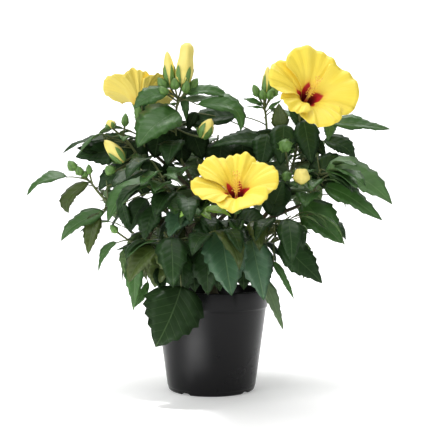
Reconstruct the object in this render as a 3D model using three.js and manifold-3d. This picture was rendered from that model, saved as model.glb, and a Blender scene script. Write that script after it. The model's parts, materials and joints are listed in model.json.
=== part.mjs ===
// A potted hibiscus shrub in bloom: a moulded nursery pot filled with soil, a short trunk with a
// flared foot, one tapering bough to each mass of foliage, and three open blooms on their stalks.
// Millimetres, +Z up. The origin is the centre of the pot's flat underside, the front is -Y.

import * as THREE from 'three';
import { mergeVertices } from 'three/addons/utils/BufferGeometryUtils.js';
import Module from 'manifold-3d';

const wasm = await Module();
wasm.setup();

// Clearance between pieces that touch on the real plant
const GAP = 0.3;
const LEAF_CLEARANCE = 0.45;
const CUT = 0.42;
const ROOT_SPACING = 3;

// Pot
const POT_HEIGHT = 114;
const RIM_RADIUS = 65;
const LIP_HEIGHT = 20;
const LIP_STEP = 1.4;
const SHOULDER_RADIUS = 62.4;
const HEEL_RADIUS = 50.6;
const HEEL_HEIGHT = 9;
const FOOT_RADIUS = 46.5;
const POT_WALL = 1.8;
const POT_FLOOR = 4;
const POT_SIDES = 30;
const NOTCH_COUNT = 4;
const NOTCH_SIZE = [10, 9, 3.2];
const NOTCH_TURN = -37.5;

// Soil
const SOIL_DROP = 12;
const SOIL_CROWN = 1.5;
const SOIL_FLAT_RADIUS = 16;
const SOIL_SIDES = 20;

// Trunk
const TRUNK_FOOT_RADIUS = 11;
const TRUNK_RADIUS = 6.4;
const TRUNK_TOP_RADIUS = 5;
const TRUNK_LENGTH = 46;
const TRUNK_LEAN = [3, -3];
const FLARE_LENGTH = 12;

// Limbs
const BOUGH_BASE_RADIUS = 3.2;
const BOUGH_TIP_RADIUS = 1.9;
const BOUGH_SWEEP = 0.42;
const STEM_TIP_RADIUS = 1.2;
const TWIG_RADII = [1.1, 0.7];
const PETIOLE_RADIUS = 0.9;
const PETIOLE_ROOT = 0.4;
const BUD_STALK_RADIUS = 1.1;
const STALK_RADIUS = 1.6;

// Leaves: a pointed oval blade, thickest along its midrib
const BLADE_THICKNESS = 0.02;
const BLADE_FOLD = 0.04;
const ROOT_SINK = 3;
const LEAD_STATIONS = [0.16, 0.42, 0.76];
const FILL_STATIONS = [0.28, 0.7];
const FIFTHS = 144;
const TRY_TURNS = [0, 35, -35, 80];
const HANG = 34;
const HANG_HEIGHTS = [130, 225];
const TWIG_LEAVES = [[0.5, 62], [0.75, -62], [0.98, 18]];

// Blooms: the corolla's profile from calyx to rim, as radius and height
const BLOOM_PROFILE = [[2.6, 9], [9, 30], [11, 46], [48, 49]];
const PETAL_COUNT = 5;
const PETAL_THICKNESS = 0.9;
const LOBE_DEPTH = 0.15;
const CLOSED_RISE = 22;
const PETAL_RUFFLE = 1.8;
const COLUMN_LENGTH = 50;
const COLUMN_RADII = [2, 1.3];
const CALYX_PROFILE = [[0, 0], [3, 1], [5.6, 8], [6.6, 18], [6, 25], [0, 25]];

const FOLIAGE = new THREE.MeshStandardMaterial({ color: 0x3f6a36, roughness: 0.5, metalness: 0 });
const BARK = new THREE.MeshStandardMaterial({ color: 0x5b5236, roughness: 0.85, metalness: 0 });
const PETALS = new THREE.MeshStandardMaterial({ color: 0xf4da3c, roughness: 0.6, metalness: 0 });
const PLASTIC = new THREE.MeshStandardMaterial({ color: 0x1f1f22, roughness: 0.4, metalness: 0 });
const EARTH = new THREE.MeshStandardMaterial({ color: 0x35291f, roughness: 1, metalness: 0 });

// Each shoot is a bough and the mass of foliage on its tip.
//   parent, at   the limb that it grows from and how far along it
//   tip          where the bough ends and the mass's stem starts
//   top          where the stem ends
//   leaf         usual blade length; twigs and leaves: how many side twigs and leaves on the stem
//   turn         heading of the first twig in degrees; floor: lowest height of a leaf
//   lead         leaves that draw the outline: station on the stem, foot and tip of the blade,
//                width, the way the upper side faces, and the rise of the midrib at its middle
//   buds         station on the stem, foot and tip of the bud, and its radius
const SHOOTS = [
  {
    name: 'far_left', parent: 'trunk', at: 0.8, tip: [-100, -22, 205], top: [-134, -28, 235],
    leaf: 56, twigs: 0, leaves: 2, turn: 150, floor: 150, seed: 11,
    lead: [
      [1, [-159, -34, 240], [-204, -40, 220], 25, [0, -0.5, 1], [-3, 0, 5.5]],
      [0.97, [-135, -30, 234], [-154, -48, 199], 22, [-0.4, -0.8, 0.45], [-12, 0, -1]],
      [0.4, [-117, -36, 201], [-164, -52, 171], 25, [-0.3, -0.8, 0.65], [-4.4, 0, 3.2]],
      [0.2, [-125, -38, 200], [-133, -54, 155], 20, [-0.1, -0.95, 0.3], [-1.1, -3, 0]],
    ],
    buds: [
      [0.97, [-151, -30, 247], [-158, -31, 258], 4.8], [0.95, [-144, -30, 242], [-149, -31, 252], 4],
      [0.92, [-139, -27, 239], [-143, -28, 247], 3.6], [0.9, [-135, -28, 243], [-136, -29, 254], 3],
    ],
  },
  {
    name: 'left_high', parent: 'far_left', at: 0.42, tip: [-70, -8, 240], top: [-100, -5, 287],
    leaf: 58, twigs: 0, leaves: 3, turn: 120, floor: 215, seed: 23,
    lead: [
      [1, [-118, -8, 284], [-169, -18, 269], 15, [-0.1, -0.6, 1], [0, 0, 4]],
      [0.8, [-104, -4, 271], [-153, -16, 263], 42, [-0.2, -0.85, 0.5], [0, 0, 1]],
      [0.65, [-101, 6, 277], [-145, 8, 281], 26, [0, -0.8, 0.6], [-1.2, 0, 3.5]],
      [0.35, [-87, -12, 247], [-126, -26, 225], 31, [-0.3, -0.8, 0.5], [-3.4, 0, 6.7]],
    ],
    buds: [
      [0.6, [-97, -30, 256], [-119, -26, 281], 7.5], [1, [-112, -14, 295], [-116, -15, 305], 5.5],
      [1, [-98, -10, 298], [-97, -10, 313], 3.6], [0.5, [-108, -38, 243], [-115, -42, 251], 5.5],
      [0.45, [-92, -38, 241], [-95, -42, 249], 5],
    ],
  },
  {
    name: 'left_mid', parent: 'far_left', at: 0.26, tip: [-36, -40, 206], top: [-57, -56, 236],
    leaf: 62, twigs: 1, leaves: 2, turn: 200, floor: 160, seed: 37,
    lead: [
      [1, [-64, -58, 235], [-108, -80, 189], 38, [-0.45, -0.65, 0.75], [-7.4, 0, 8.5]],
      [0.45, [-71, -32, 216], [-88, -46, 178], 28, [-0.2, -0.9, 0.4], [-3.3, 0, 1.1]],
      [0.3, [-58, -52, 207], [-70, -62, 169], 30, [-0.3, -0.85, 0.4], [-3.2, 0, 2.1]],
      [0.6, [-98, -36, 211], [-87, -44, 177], 14, [-0.2, -0.9, 0.3], [-1.1, -1, 0]],
    ],
    buds: [],
  },
  {
    name: 'left_low', parent: 'far_left', at: 0.6, tip: [-72, -30, 166], top: [-90, -41, 170],
    leaf: 52, twigs: 1, leaves: 2, turn: 190, floor: 118, seed: 41,
    lead: [
      [1, [-103, -43, 168], [-121, -50, 136], 13, [-0.5, -0.7, 0.5], [-4.3, 0, 4.3]],
      [0.95, [-83, -46, 163], [-82, -58, 95], 22, [-0.2, -0.95, 0.2], [0, -2, 0]],
      [0.5, [-69, -42, 125], [-84, -48, 96], 10, [-0.3, -0.9, 0.2], [1.1, 0, -1.1]],
    ],
    buds: [[0.98, [-102, -50, 179], [-109, -54, 187], 3.4]],
  },
  {
    name: 'left_bloom', parent: 'top', at: 0.5, tip: [-64, 20, 266], top: [-86, 15, 296],
    leaf: 54, twigs: 2, leaves: 2, turn: 100, floor: 240, seed: 53, lead: [],
    buds: [[0.95, [-74, 5, 321], [-47, 5, 331], 5.6]],
  },
  {
    name: 'top', parent: 'trunk', at: 0.96, tip: [-32, 2, 255], top: [-38, 0, 333],
    leaf: 56, twigs: 1, leaves: 2, turn: 60, floor: 230, seed: 61,
    lead: [
      [0.97, [-49, -12, 335], [-86, -14, 316], 25, [-0.1, -0.85, 0.5], [-5.5, 0, 4.5]],
      [0.75, [-37, -12, 314], [-81, -44, 272], 55, [-0.2, -0.8, 0.55], [-3.3, 0, 4.4]],
      [0.97, [-16, -6, 323], [32, -12, 291], 27, [0.35, -0.8, 0.5], [17, 0, 12]],
      [0.95, [-29, -2, 335], [27, -4, 328], 17, [0, -0.8, 0.6], [0, 0, 8]],
    ],
    buds: [
      [1, [-34, -1, 343], [-27, 0, 394], 9.6], [0.97, [-41, -6, 340], [-42, -9, 353], 5],
      [0.93, [-50, -9, 334], [-59, -13, 342], 4.6], [0.93, [-30, -8, 336], [-27, -12, 349], 4.6],
      [1, [-47, 2, 343], [-51, 3, 386], 6.4],
      [0.97, [-52, -3, 341], [-61, -4, 354], 4.8], [0.97, [-24, 3, 340], [-16, 4, 355], 4.6],
      [0.55, [-11, -14, 284], [0, -16, 306], 8],
    ],
  },
  {
    name: 'top_right', parent: 'top', at: 0.3, tip: [48, 12, 252], top: [61, 8, 322],
    leaf: 58, twigs: 0, leaves: 2, turn: 40, floor: 225, seed: 71,
    lead: [
      [0.72, [29, 8, 312], [-33, 14, 300], 32, [0, -0.8, 0.6], [-2.3, 0, 2.9]],
      [0.95, [58, 6, 323], [35, 4, 330], 9, [0, -0.8, 0.6], [0, 0, 2.3]],
      [0.45, [60, -4, 283], [0, -27, 276], 27, [-0.1, -0.8, 0.6], [1.1, 0, 2.8]],
      [0.5, [65, 0, 284], [98, -26, 279], 32, [0.2, -0.8, 0.6], [0, 0, 3.4]],
      [0.55, [63, -10, 289], [55, -24, 249], 30, [0, -0.95, 0.3], [0, -2, 0]],
    ],
    buds: [
      [1, [63, 9, 334], [65, 10, 370], 5.2], [1, [54, 7, 334], [48, 6, 348], 4],
      [1, [70, 6, 334], [74, 5, 347], 4.8], [0.97, [60, 2, 330], [57, -1, 341], 4.4],
      [0.97, [66, 2, 330], [68, -2, 341], 4.4],
    ],
  },
  {
    name: 'right_high', parent: 'right', at: 0.55, tip: [86, -6, 238], top: [98, -8, 284],
    leaf: 58, twigs: 1, leaves: 2, turn: 20, floor: 215, seed: 83,
    lead: [
      [1, [134, -14, 301], [200, -15, 291], 22, [0, -0.8, 0.6], [2.2, 0, 3.4]],
      [0.9, [126, -18, 281], [161, -25, 259], 28, [0.2, -0.8, 0.55], [4, 0, 4]],
      [0.95, [135, -12, 306], [130, -20, 280], 15, [0, -0.9, 0.4], [0, -1, 0]],
      [0.6, [81, -24, 299], [76, -34, 252], 31, [0, -0.95, 0.3], [0, -2, 0]],
      [0.7, [103, -20, 304], [111, -30, 253], 30, [0.1, -0.95, 0.3], [0, -2, 0]],
      [0.85, [103, -14, 296], [85, -16, 318], 15, [0, -0.9, 0.4], [1.1, 0, 0]],
      [0.9, [80, -14, 294], [76, -18, 323], 21, [-0.3, -0.9, 0.1], [-1.1, 0, 0]],
    ],
    buds: [
      [0.12, [80, -50, 270], [79, -63, 276], 6.8], [0.35, [95, -66, 237], [96, -80, 241], 8.4],
      [0.35, [82, -52, 238], [80, -62, 242], 5],
    ],
  },
  {
    name: 'right', parent: 'trunk', at: 0.66, tip: [98, -25, 208], top: [120, -36, 248],
    leaf: 64, twigs: 1, leaves: 2, turn: 320, floor: 150, seed: 97,
    lead: [
      [1, [124, -42, 246], [195, -52, 208], 47, [0.3, -0.8, 0.55], [4.3, 0, 9.8]],
      [0.75, [121, -50, 229], [180, -64, 189], 33, [0.2, -0.8, 0.55], [2.1, 0, 5.4]],
      [0.3, [100, -48, 212], [137, -76, 166], 41, [0.15, -0.9, 0.35], [1.1, 0, 0]],
      [0.8, [111, -30, 243], [152, -32, 262], 31, [-0.1, -0.85, 0.5], [0, 0, 2.2]],
      [0.1, [87, -34, 213], [55, -40, 225], 31, [-0.2, -0.85, 0.4], [0, 0, 2.2]],
    ],
    buds: [],
  },
  {
    name: 'front_right', parent: 'right', at: 0.3, tip: [56, -52, 176], top: [80, -80, 191],
    leaf: 58, twigs: 1, leaves: 2, turn: 300, floor: 116, seed: 101,
    lead: [
      [0.9, [72, -82, 171], [115, -97, 129], 34, [0.15, -0.9, 0.35], [1.5, 0, -3]],
      [0.5, [64, -88, 150], [85, -94, 110], 9, [0.3, -0.85, 0.3], [1, 0, 1.5]],
      [0.2, [51, -88, 135], [73, -98, 79], 15, [0.2, -0.9, 0.3], [2.1, 0, 1]],
      [0.2, [41, -92, 174], [54, -106, 111], 34, [-0.1, -0.9, 0.35], [0, -4, 0]],
      [0.3, [54, -78, 165], [58, -84, 120], 25, [0.1, -0.9, 0.3], [-2.1, -3, 0]],
      [0.1, [64, -40, 197], [79, -42, 236], 28, [-0.1, -0.9, 0.3], [0, -2, 0]],
    ],
    buds: [],
  },
  {
    name: 'front_bloom', parent: 'front_low', at: 0.45, tip: [18, -42, 172], top: [25, -58, 192],
    leaf: 50, twigs: 1, leaves: 3, turn: 250, floor: 150, seed: 113,
    lead: [
      [0.3, [29, -52, 173], [49, -75, 147], 34, [0.3, -0.8, 0.5], [0, 0, 4.3]],
      [0.9, [32, -54, 191], [61, -52, 186], 28, [0.2, -0.7, 0.65], [0, 0, 5.4]],
    ],
    buds: [],
  },
  {
    name: 'front_low', parent: 'trunk', at: 0.5, tip: [10, -62, 160], top: [12, -92, 178],
    leaf: 54, twigs: 1, leaves: 2, turn: 270, floor: 112, seed: 127,
    lead: [
      [0.9, [10, -98, 183], [20, -120, 117], 46, [0.05, -0.95, 0.3], [0, -5, 0]],
      [0.3, [-5, -72, 164], [-3, -92, 115], 35, [-0.15, -0.9, 0.3], [0, -4, 0]],
    ],
    buds: [],
  },
  {
    name: 'front_mid', parent: 'left_mid', at: 0.3, tip: [-10, -46, 188], top: [-19, -76, 204],
    leaf: 50, twigs: 1, leaves: 2, turn: 230, floor: 140, seed: 239,
    lead: [
      [0.6, [-20, -66, 199], [-43, -84, 173], 36, [-0.3, -0.65, 0.75], [-3.2, 0, 5.3]],
      [1, [-21, -84, 202], [-32, -100, 195], 11, [-0.2, -0.7, 0.8], [0, 0, 2.1]],
      [1, [-16, -82, 202], [0, -104, 191], 13, [0.1, -0.7, 0.7], [1, 0, 3.1]],
      [1, [-8, -84, 203], [21, -100, 197], 14, [0.1, -0.7, 0.75], [0, 0, 3.1]],
      [0.5, [-7, -64, 193], [5, -86, 159], 32, [0.15, -0.85, 0.4], [0, 0, 2.1]],
      [0.7, [-25, -60, 200], [-55, -62, 213], 30, [-0.2, -0.7, 0.7], [-1.1, 0, 4.3]],
    ],
    buds: [],
  },
  {
    name: 'front_left', parent: 'front_low', at: 0.25, tip: [-32, -50, 160], top: [-35, -84, 164],
    leaf: 54, twigs: 1, leaves: 2, turn: 240, floor: 112, seed: 131,
    lead: [
      [1, [-30, -104, 126], [-56, -116, 65], 63, [-0.1, -0.95, 0.25], [2, -4, -1]],
      [0.95, [-46, -96, 169], [-36, -108, 131], 28, [0, -0.9, 0.4], [-1, -3, 0]],
      [0.8, [-57, -86, 163], [-85, -95, 128], 35, [-0.4, -0.75, 0.5], [-4.1, 0, 3.1]],
      [0.3, [-51, -58, 154], [-61, -70, 121], 34, [-0.3, -0.9, 0.3], [0, -3, 0]],
      [0.15, [-32, -60, 152], [-33, -78, 109], 36, [-0.1, -0.9, 0.3], [0, -3, 0]],
    ],
    buds: [],
  },
  {
    name: 'back_left_high', parent: 'back', at: 0.55, tip: [-55, 62, 222], top: [-84, 84, 268],
    leaf: 62, twigs: 2, leaves: 4, turn: 130, floor: 185, seed: 149, lead: [],
    buds: [[1, [-88, 87, 276], [-92, 90, 300], 5.4]],
  },
  {
    name: 'back', parent: 'trunk', at: 0.84, tip: [2, 66, 232], top: [8, 92, 298],
    leaf: 62, twigs: 2, leaves: 4, turn: 80, floor: 190, seed: 151, lead: [],
    buds: [[0.6, [22, 86, 276], [34, 90, 289], 5], [0.9, [-4, 96, 286], [-14, 100, 294], 4.2]],
  },
  {
    name: 'back_right_high', parent: 'back', at: 0.4, tip: [62, 60, 216], top: [94, 82, 266],
    leaf: 62, twigs: 2, leaves: 4, turn: 45, floor: 180, seed: 163, lead: [],
    buds: [[1, [97, 84, 274], [102, 86, 294], 5]],
  },
  {
    name: 'back_left_low', parent: 'far_left', at: 0.16, tip: [-62, 44, 164], top: [-100, 72, 178],
    leaf: 64, twigs: 3, leaves: 3, turn: 150, floor: 92, seed: 173, lead: [], buds: [],
  },
  {
    name: 'back_low', parent: 'back', at: 0.16, tip: [2, 66, 160], top: [4, 106, 174],
    leaf: 64, twigs: 3, leaves: 3, turn: 95, floor: 92, seed: 181, lead: [], buds: [],
  },
  {
    name: 'back_right_low', parent: 'right', at: 0.14, tip: [64, 48, 164], top: [104, 72, 180],
    leaf: 64, twigs: 3, leaves: 4, turn: 30, floor: 92, seed: 191, lead: [], buds: [],
  },
];

// Each open bloom: the shoot that carries it, the foot of its calyx, the way it faces, its size,
// how far it has opened, the bend of its column, and each petal's heading and share of the length.
const BLOOMS = [
  { name: 'bloom_right', shoot: 'right_high', foot: [98, -16, 313], facing: [0.24, -0.87, 0.42],
    size: 1.04, open: 1, bend: [5, 8],
    petals: [[95, 1.03], [161, 1.04], [220, 0.88], [270, 0.98], [346, 1.01]] },
  { name: 'bloom_front', shoot: 'front_bloom', foot: [27, -70, 200], facing: [-0.03, -0.68, 0.73],
    size: 0.95, open: 1, bend: [0, 5],
    petals: [[13, 0.95], [77, 0.9], [135, 0.99], [204, 1.04], [276, 1.02]] },
  { name: 'bloom_left', shoot: 'left_bloom', foot: [-85, 14, 308], facing: [0.02, 0.5, 0.86],
    size: 0.88, open: 0.97, bend: [0, 4],
    petals: [[20, 1.08], [82, 0.9], [140, 0.93], [205, 1], [285, 0.74]] },
];

const UP = new THREE.Vector3(0, 0, 1);
const vector = (point) => new THREE.Vector3(...point);
const radians = THREE.MathUtils.degToRad;

// The same small generator wherever a number is drawn, so the shrub grows alike each time.
function makeRandom(seed) {
  let state = seed >>> 0;
  return () => {
    state = (Math.imul(state, 1664525) + 1013904223) >>> 0;
    return state / 4294967296;
  };
}

// Merges a closed geometry's shared vertices, moves each one, and makes a solid of it.
function solidOf(geometry, place = () => {}) {
  const bare = geometry.clone();
  bare.deleteAttribute('normal');
  bare.deleteAttribute('uv');
  const merged = mergeVertices(bare, 1e-4);
  const position = merged.attributes.position;
  const point = new THREE.Vector3();
  for (let i = 0; i < position.count; i++) {
    point.fromBufferAttribute(position, i);
    place(point);
    position.setXYZ(i, point.x, point.y, point.z);
  }
  return new wasm.Manifold(new wasm.Mesh({
    numProp: 3,
    vertProperties: position.array,
    triVerts: Uint32Array.from(merged.index.array),
  }));
}

// Joins overlapping solids and keeps the one body that they make.
function joined(solids) {
  const union = wasm.Manifold.union(solids);
  const bodies = union.decompose();
  return bodies.reduce((best, body) => (body.volume() > best.volume() ? body : best));
}

function meshOf(name, solid, material) {
  const { vertProperties, triVerts } = solid.getMesh();
  const geometry = new THREE.BufferGeometry();
  geometry.setAttribute('position', new THREE.BufferAttribute(Float32Array.from(vertProperties), 3));
  geometry.setIndex(new THREE.BufferAttribute(Uint32Array.from(triVerts), 1));
  geometry.computeVertexNormals();
  const mesh = new THREE.Mesh(geometry, material);
  mesh.name = name;
  return mesh;
}

// A lathe about +Z through points of radius and height.
function turned(profile, sides) {
  const outline = profile.map(([radius, height]) => new THREE.Vector2(radius, height));
  const lathe = new THREE.LatheGeometry(outline, sides);
  lathe.rotateX(Math.PI / 2);
  return lathe;
}

// A round limb along a curve, its radius given at each share of the way.
function limb(curve, radiusAt, sides, steps) {
  const frames = curve.computeFrenetFrames(steps, false);
  const rod = new THREE.CylinderGeometry(1, 1, 1, sides, steps);
  return solidOf(rod, (point) => {
    const ring = Math.round((point.y + 0.5) * steps);
    const share = ring / steps;
    const radius = radiusAt(share);
    const across = point.x * radius;
    const along = point.z * radius;
    curve.getPointAt(share, point);
    point.addScaledVector(frames.normals[ring], across);
    point.addScaledVector(frames.binormals[ring], -along);
  });
}

const taper = (from, to) => (share) => from + (to - from) * share;

// A curve that leaves its start along one heading and swings to its end.
function sweep(start, heading, end, share) {
  const reach = start.distanceTo(end) * share;
  return new THREE.QuadraticBezierCurve3(start, start.clone().addScaledVector(heading, reach), end);
}

// Half of the blade's width at a share of its length: widest a third of the way, drawn to a point.
function bladeHalfWidth(share) {
  return 0.5 * Math.pow(Math.sin(Math.PI * Math.pow(share, 0.72)), 0.85);
}

// The part of a facing that stands square to a blade's chord.
function squareTo(face, chord) {
  return face.clone().addScaledVector(chord, -face.dot(chord) / chord.lengthSq()).normalize();
}

// A leaf in one piece: a slim three-sided petiole from its root in the limb, then the blade, flat
// above between its margins and keeled below along a midrib that arches from foot to tip.
function leafSolid({ root, foot, tip, width, face, rise: lift, stations }) {
  const chord = tip.clone().sub(foot);
  const up = squareTo(face, chord);
  const bend = foot.clone().lerp(tip, 0.45).addScaledVector(lift, 2);
  const midrib = new THREE.QuadraticBezierCurve3(foot, bend, tip);
  const sideAt = (share) => up.clone().cross(midrib.getTangent(share)).normalize();
  const keel = Math.max(chord.length() * BLADE_THICKNESS, 1.2);
  const along = foot.clone().sub(root).normalize();
  const knee = along.clone().add(midrib.getTangent(0)).normalize();
  const rings = stations.length + 3;
  const corners = [[0, -1], [-0.87, 0.5], [0.87, 0.5]];
  return solidOf(new THREE.SphereGeometry(1, 3, rings), (point) => {
    const ring = Math.round((Math.acos(THREE.MathUtils.clamp(point.y, -1, 1)) / Math.PI) * rings);
    const corner = (Math.round((Math.atan2(point.z, -point.x) * 3) / (2 * Math.PI)) + 3) % 3;
    const [across, rise] = ring === 0 || ring === rings ? [0, 0] : corners[corner];
    if (ring < 3) {
      const axis = ring < 2 ? along : knee;
      const wide = squareTo(sideAt(0), axis);
      const high = axis.clone().cross(wide);
      point.copy(ring < 2 ? root : foot).addScaledVector(along, ring === 1 ? PETIOLE_ROOT : 0);
      point.addScaledVector(wide, across * PETIOLE_RADIUS).addScaledVector(high, rise * PETIOLE_RADIUS);
      return;
    }
    const share = ring === rings ? 1 : stations[ring - 3];
    const side = sideAt(share);
    const reach = Math.sign(across) * bladeHalfWidth(share) * width;
    const normal = midrib.getTangent(share).cross(side).normalize();
    midrib.getPoint(share, point);
    point.addScaledVector(side, reach);
    point.addScaledVector(normal, Math.min(rise, 0) * keel + Math.abs(reach) * BLADE_FOLD);
  });
}

// A bud: a pointed egg from its foot to its tip, widest low down.
function bud(foot, tip, radius) {
  const axis = tip.clone().sub(foot);
  const turn = new THREE.Quaternion().setFromUnitVectors(UP, axis.clone().normalize());
  const length = axis.length();
  return solidOf(new THREE.SphereGeometry(1, 5, 3), (point) => {
    const share = (point.y + 1) / 2;
    const girth = radius * (1.12 - 0.35 * share);
    point.set(point.x * girth, -point.z * girth, share * length).applyQuaternion(turn).add(foot);
  });
}

// A petiole or bud stalk: a straight three-sided rod, both of its ends sunk well in.
const triangle = new THREE.Shape([0, 1, 2].map((corner) => new THREE.Vector2(
  Math.cos((corner * 2 * Math.PI) / 3), Math.sin((corner * 2 * Math.PI) / 3),
)));
const rod = new THREE.ExtrudeGeometry(triangle, { depth: 1, steps: 1, bevelEnabled: false });

function petiole(root, foot, radius) {
  const axis = foot.clone().sub(root);
  const turn = new THREE.Quaternion().setFromUnitVectors(UP, axis.clone().normalize());
  const length = axis.length() + ROOT_SINK;
  return solidOf(rod, (point) => {
    point.set(point.x * radius, point.y * radius, point.z * length).applyQuaternion(turn).add(root);
  });
}

function potSolid() {
  const shoulder = POT_HEIGHT - LIP_HEIGHT;
  const inner = [
    [0, POT_FLOOR], [HEEL_RADIUS - POT_WALL - 2.5, POT_FLOOR], [HEEL_RADIUS - POT_WALL, HEEL_HEIGHT],
    [SHOULDER_RADIUS - POT_WALL, shoulder], [RIM_RADIUS - POT_WALL, POT_HEIGHT],
  ];
  const outer = [
    [0, 0], [FOOT_RADIUS, 0], [FOOT_RADIUS + 2.6, 1.6], [HEEL_RADIUS - 0.3, 5],
    [HEEL_RADIUS, HEEL_HEIGHT], [SHOULDER_RADIUS, shoulder], [SHOULDER_RADIUS + LIP_STEP, shoulder],
    [RIM_RADIUS, POT_HEIGHT],
  ];
  const shell = solidOf(turned([...outer, ...inner.reverse()], POT_SIDES));
  const notches = [];
  for (let i = 0; i < NOTCH_COUNT; i++) {
    const box = new THREE.BoxGeometry(...NOTCH_SIZE);
    box.translate(FOOT_RADIUS + NOTCH_SIZE[0] / 2 - 2, 0, NOTCH_SIZE[2] / 2 - 0.5);
    box.rotateZ(radians(-90 + NOTCH_TURN + (i * 360) / NOTCH_COUNT));
    notches.push(solidOf(box));
  }
  return shell.subtract(wasm.Manifold.union(notches));
}

function soilSolid() {
  const shoulder = POT_HEIGHT - LIP_HEIGHT;
  const level = POT_HEIGHT - SOIL_DROP;
  const within = (radius) => (radius - POT_WALL) * Math.cos(Math.PI / POT_SIDES) - GAP;
  const brim = within(THREE.MathUtils.lerp(SHOULDER_RADIUS, RIM_RADIUS, 1 - SOIL_DROP / LIP_HEIGHT));
  return solidOf(turned([
    [0, POT_FLOOR + GAP], [within(HEEL_RADIUS) - 2.6, POT_FLOOR + GAP],
    [within(HEEL_RADIUS), HEEL_HEIGHT + GAP], [within(SHOULDER_RADIUS), shoulder],
    [brim, level], [brim * 0.7, level + SOIL_CROWN * 0.4],
    [SOIL_FLAT_RADIUS, level + SOIL_CROWN], [0, level + SOIL_CROWN],
  ], SOIL_SIDES));
}

const groundLevel = POT_HEIGHT - SOIL_DROP + SOIL_CROWN + GAP;
const trunkCurve = new THREE.QuadraticBezierCurve3(
  new THREE.Vector3(0, 0, groundLevel),
  new THREE.Vector3(0, 0, groundLevel + TRUNK_LENGTH * 0.6),
  new THREE.Vector3(TRUNK_LEAN[0], TRUNK_LEAN[1], groundLevel + TRUNK_LENGTH),
);

function trunkRadius(share) {
  const flare = Math.max(0, 1 - (share * TRUNK_LENGTH) / FLARE_LENGTH);
  const shaft = THREE.MathUtils.lerp(TRUNK_RADIUS, TRUNK_TOP_RADIUS, share);
  return shaft + (TRUNK_FOOT_RADIUS - TRUNK_RADIUS) * flare * flare;
}

const trunkSolid = () => limb(trunkCurve, trunkRadius, 9, 9);

// Boughs: each leaves its parent along the parent's own heading and ends at its mass.
const curves = { trunk: trunkCurve };
const boughRadius = { trunk: TRUNK_TOP_RADIUS };

function boughCurve(shoot) {
  const parent = curves[shoot.parent];
  const start = parent.getPointAt(shoot.at);
  const tip = vector(shoot.tip);
  const heading = parent.getTangentAt(shoot.at).lerp(tip.clone().sub(start).normalize(), 0.45);
  return sweep(start, heading.normalize(), tip, BOUGH_SWEEP);
}

// Where a leaf stands: its petiole's root, heading in degrees, blade length and droop.
function leafAt(root, turn, length, random) {
  const heading = new THREE.Vector3(Math.cos(radians(turn)), Math.sin(radians(turn)), 0);
  const outward = new THREE.Vector3(root.x, root.y, 0).normalize();
  heading.addScaledVector(outward, 0.75).normalize();
  const [low, high] = HANG_HEIGHTS;
  const hang = HANG * THREE.MathUtils.clamp((high - root.z) / (high - low), 0, 1);
  const rise = radians(8 + 30 * random() - hang * 0.6);
  const droop = radians(6 + 46 * random() + hang * 0.8);
  const size = length * (0.72 + 0.42 * random());
  const share = 0.5 + 0.12 * random();
  const foot = root.clone().addScaledVector(heading, Math.cos(rise) * size * 0.28);
  foot.z += Math.sin(rise) * size * 0.28;
  const tip = foot.clone().addScaledVector(heading, Math.cos(droop) * size);
  tip.z -= Math.sin(droop) * size;
  const face = heading.clone().multiplyScalar(0.3).add(UP);
  const lift = squareTo(face, tip.clone().sub(foot)).multiplyScalar(size * 0.11);
  return { root, foot, tip, width: size * share, face, rise: lift, stations: FILL_STATIONS };
}

// The places for one leaf: tried in turn, until one is free.
function tries(root, turn, length, random) {
  return TRY_TURNS.map((swing) => leafAt(root, turn + swing, length, random));
}

// Leaves of one mass: those round the stem, turned by two fifths, and those on its side twigs.
function growth(shoot, stem) {
  const random = makeRandom(shoot.seed);
  const leaves = [];
  const twigs = [];
  for (let i = 0; i < shoot.leaves; i++) {
    const root = stem.getPointAt(0.2 + (0.72 * (i + 0.5)) / shoot.leaves);
    leaves.push(tries(root, shoot.turn + 70 + i * FIFTHS, shoot.leaf, random));
  }
  for (let i = 0; i < shoot.twigs; i++) {
    const root = stem.getPointAt(0.1 + (0.7 * (i + 0.5)) / shoot.twigs);
    const turn = shoot.turn + i * FIFTHS + (random() - 0.5) * 40;
    const rise = radians(14 + 30 * random());
    const reach = shoot.leaf * (0.5 + 0.3 * random());
    const heading = new THREE.Vector3(Math.cos(radians(turn)), Math.sin(radians(turn)), 0);
    heading.addScaledVector(new THREE.Vector3(root.x, root.y, 0).normalize(), 0.6).normalize();
    const end = root.clone().addScaledVector(heading, Math.cos(rise) * reach);
    end.z += Math.sin(rise) * reach;
    const curve = sweep(root, heading.add(UP).normalize(), end, 0.4);
    const own = TWIG_LEAVES.map(([station, swing]) => (
      tries(curve.getPointAt(station), turn + swing, shoot.leaf, random)
    ));
    twigs.push({ curve, leaves: own });
  }
  return { twigs, leaves };
}

function leadLeaf([station, foot, tip, width, face, rise], stem) {
  return {
    root: stem.getPointAt(station), foot: vector(foot), tip: vector(tip), width,
    face: vector(face), rise: vector(rise), stations: LEAD_STATIONS,
  };
}

// Which stem is nearest to a point, as the name of its mass.
function nearestMass(point, stems) {
  let best = Infinity;
  let owner = '';
  for (const [name, stem] of Object.entries(stems)) {
    for (const share of [0, 0.5, 1]) {
      const distance = stem.getPoint(share).distanceTo(point);
      if (distance < best) {
        best = distance;
        owner = name;
      }
    }
  }
  return owner;
}

// Everything placed so far, with the node that it belongs to and, for a leaf, where it is rooted.
const placed = [];

function place(owner, solid, root = null) {
  placed.push({ owner, solid, root, box: solid.boundingBox() });
}

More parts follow.
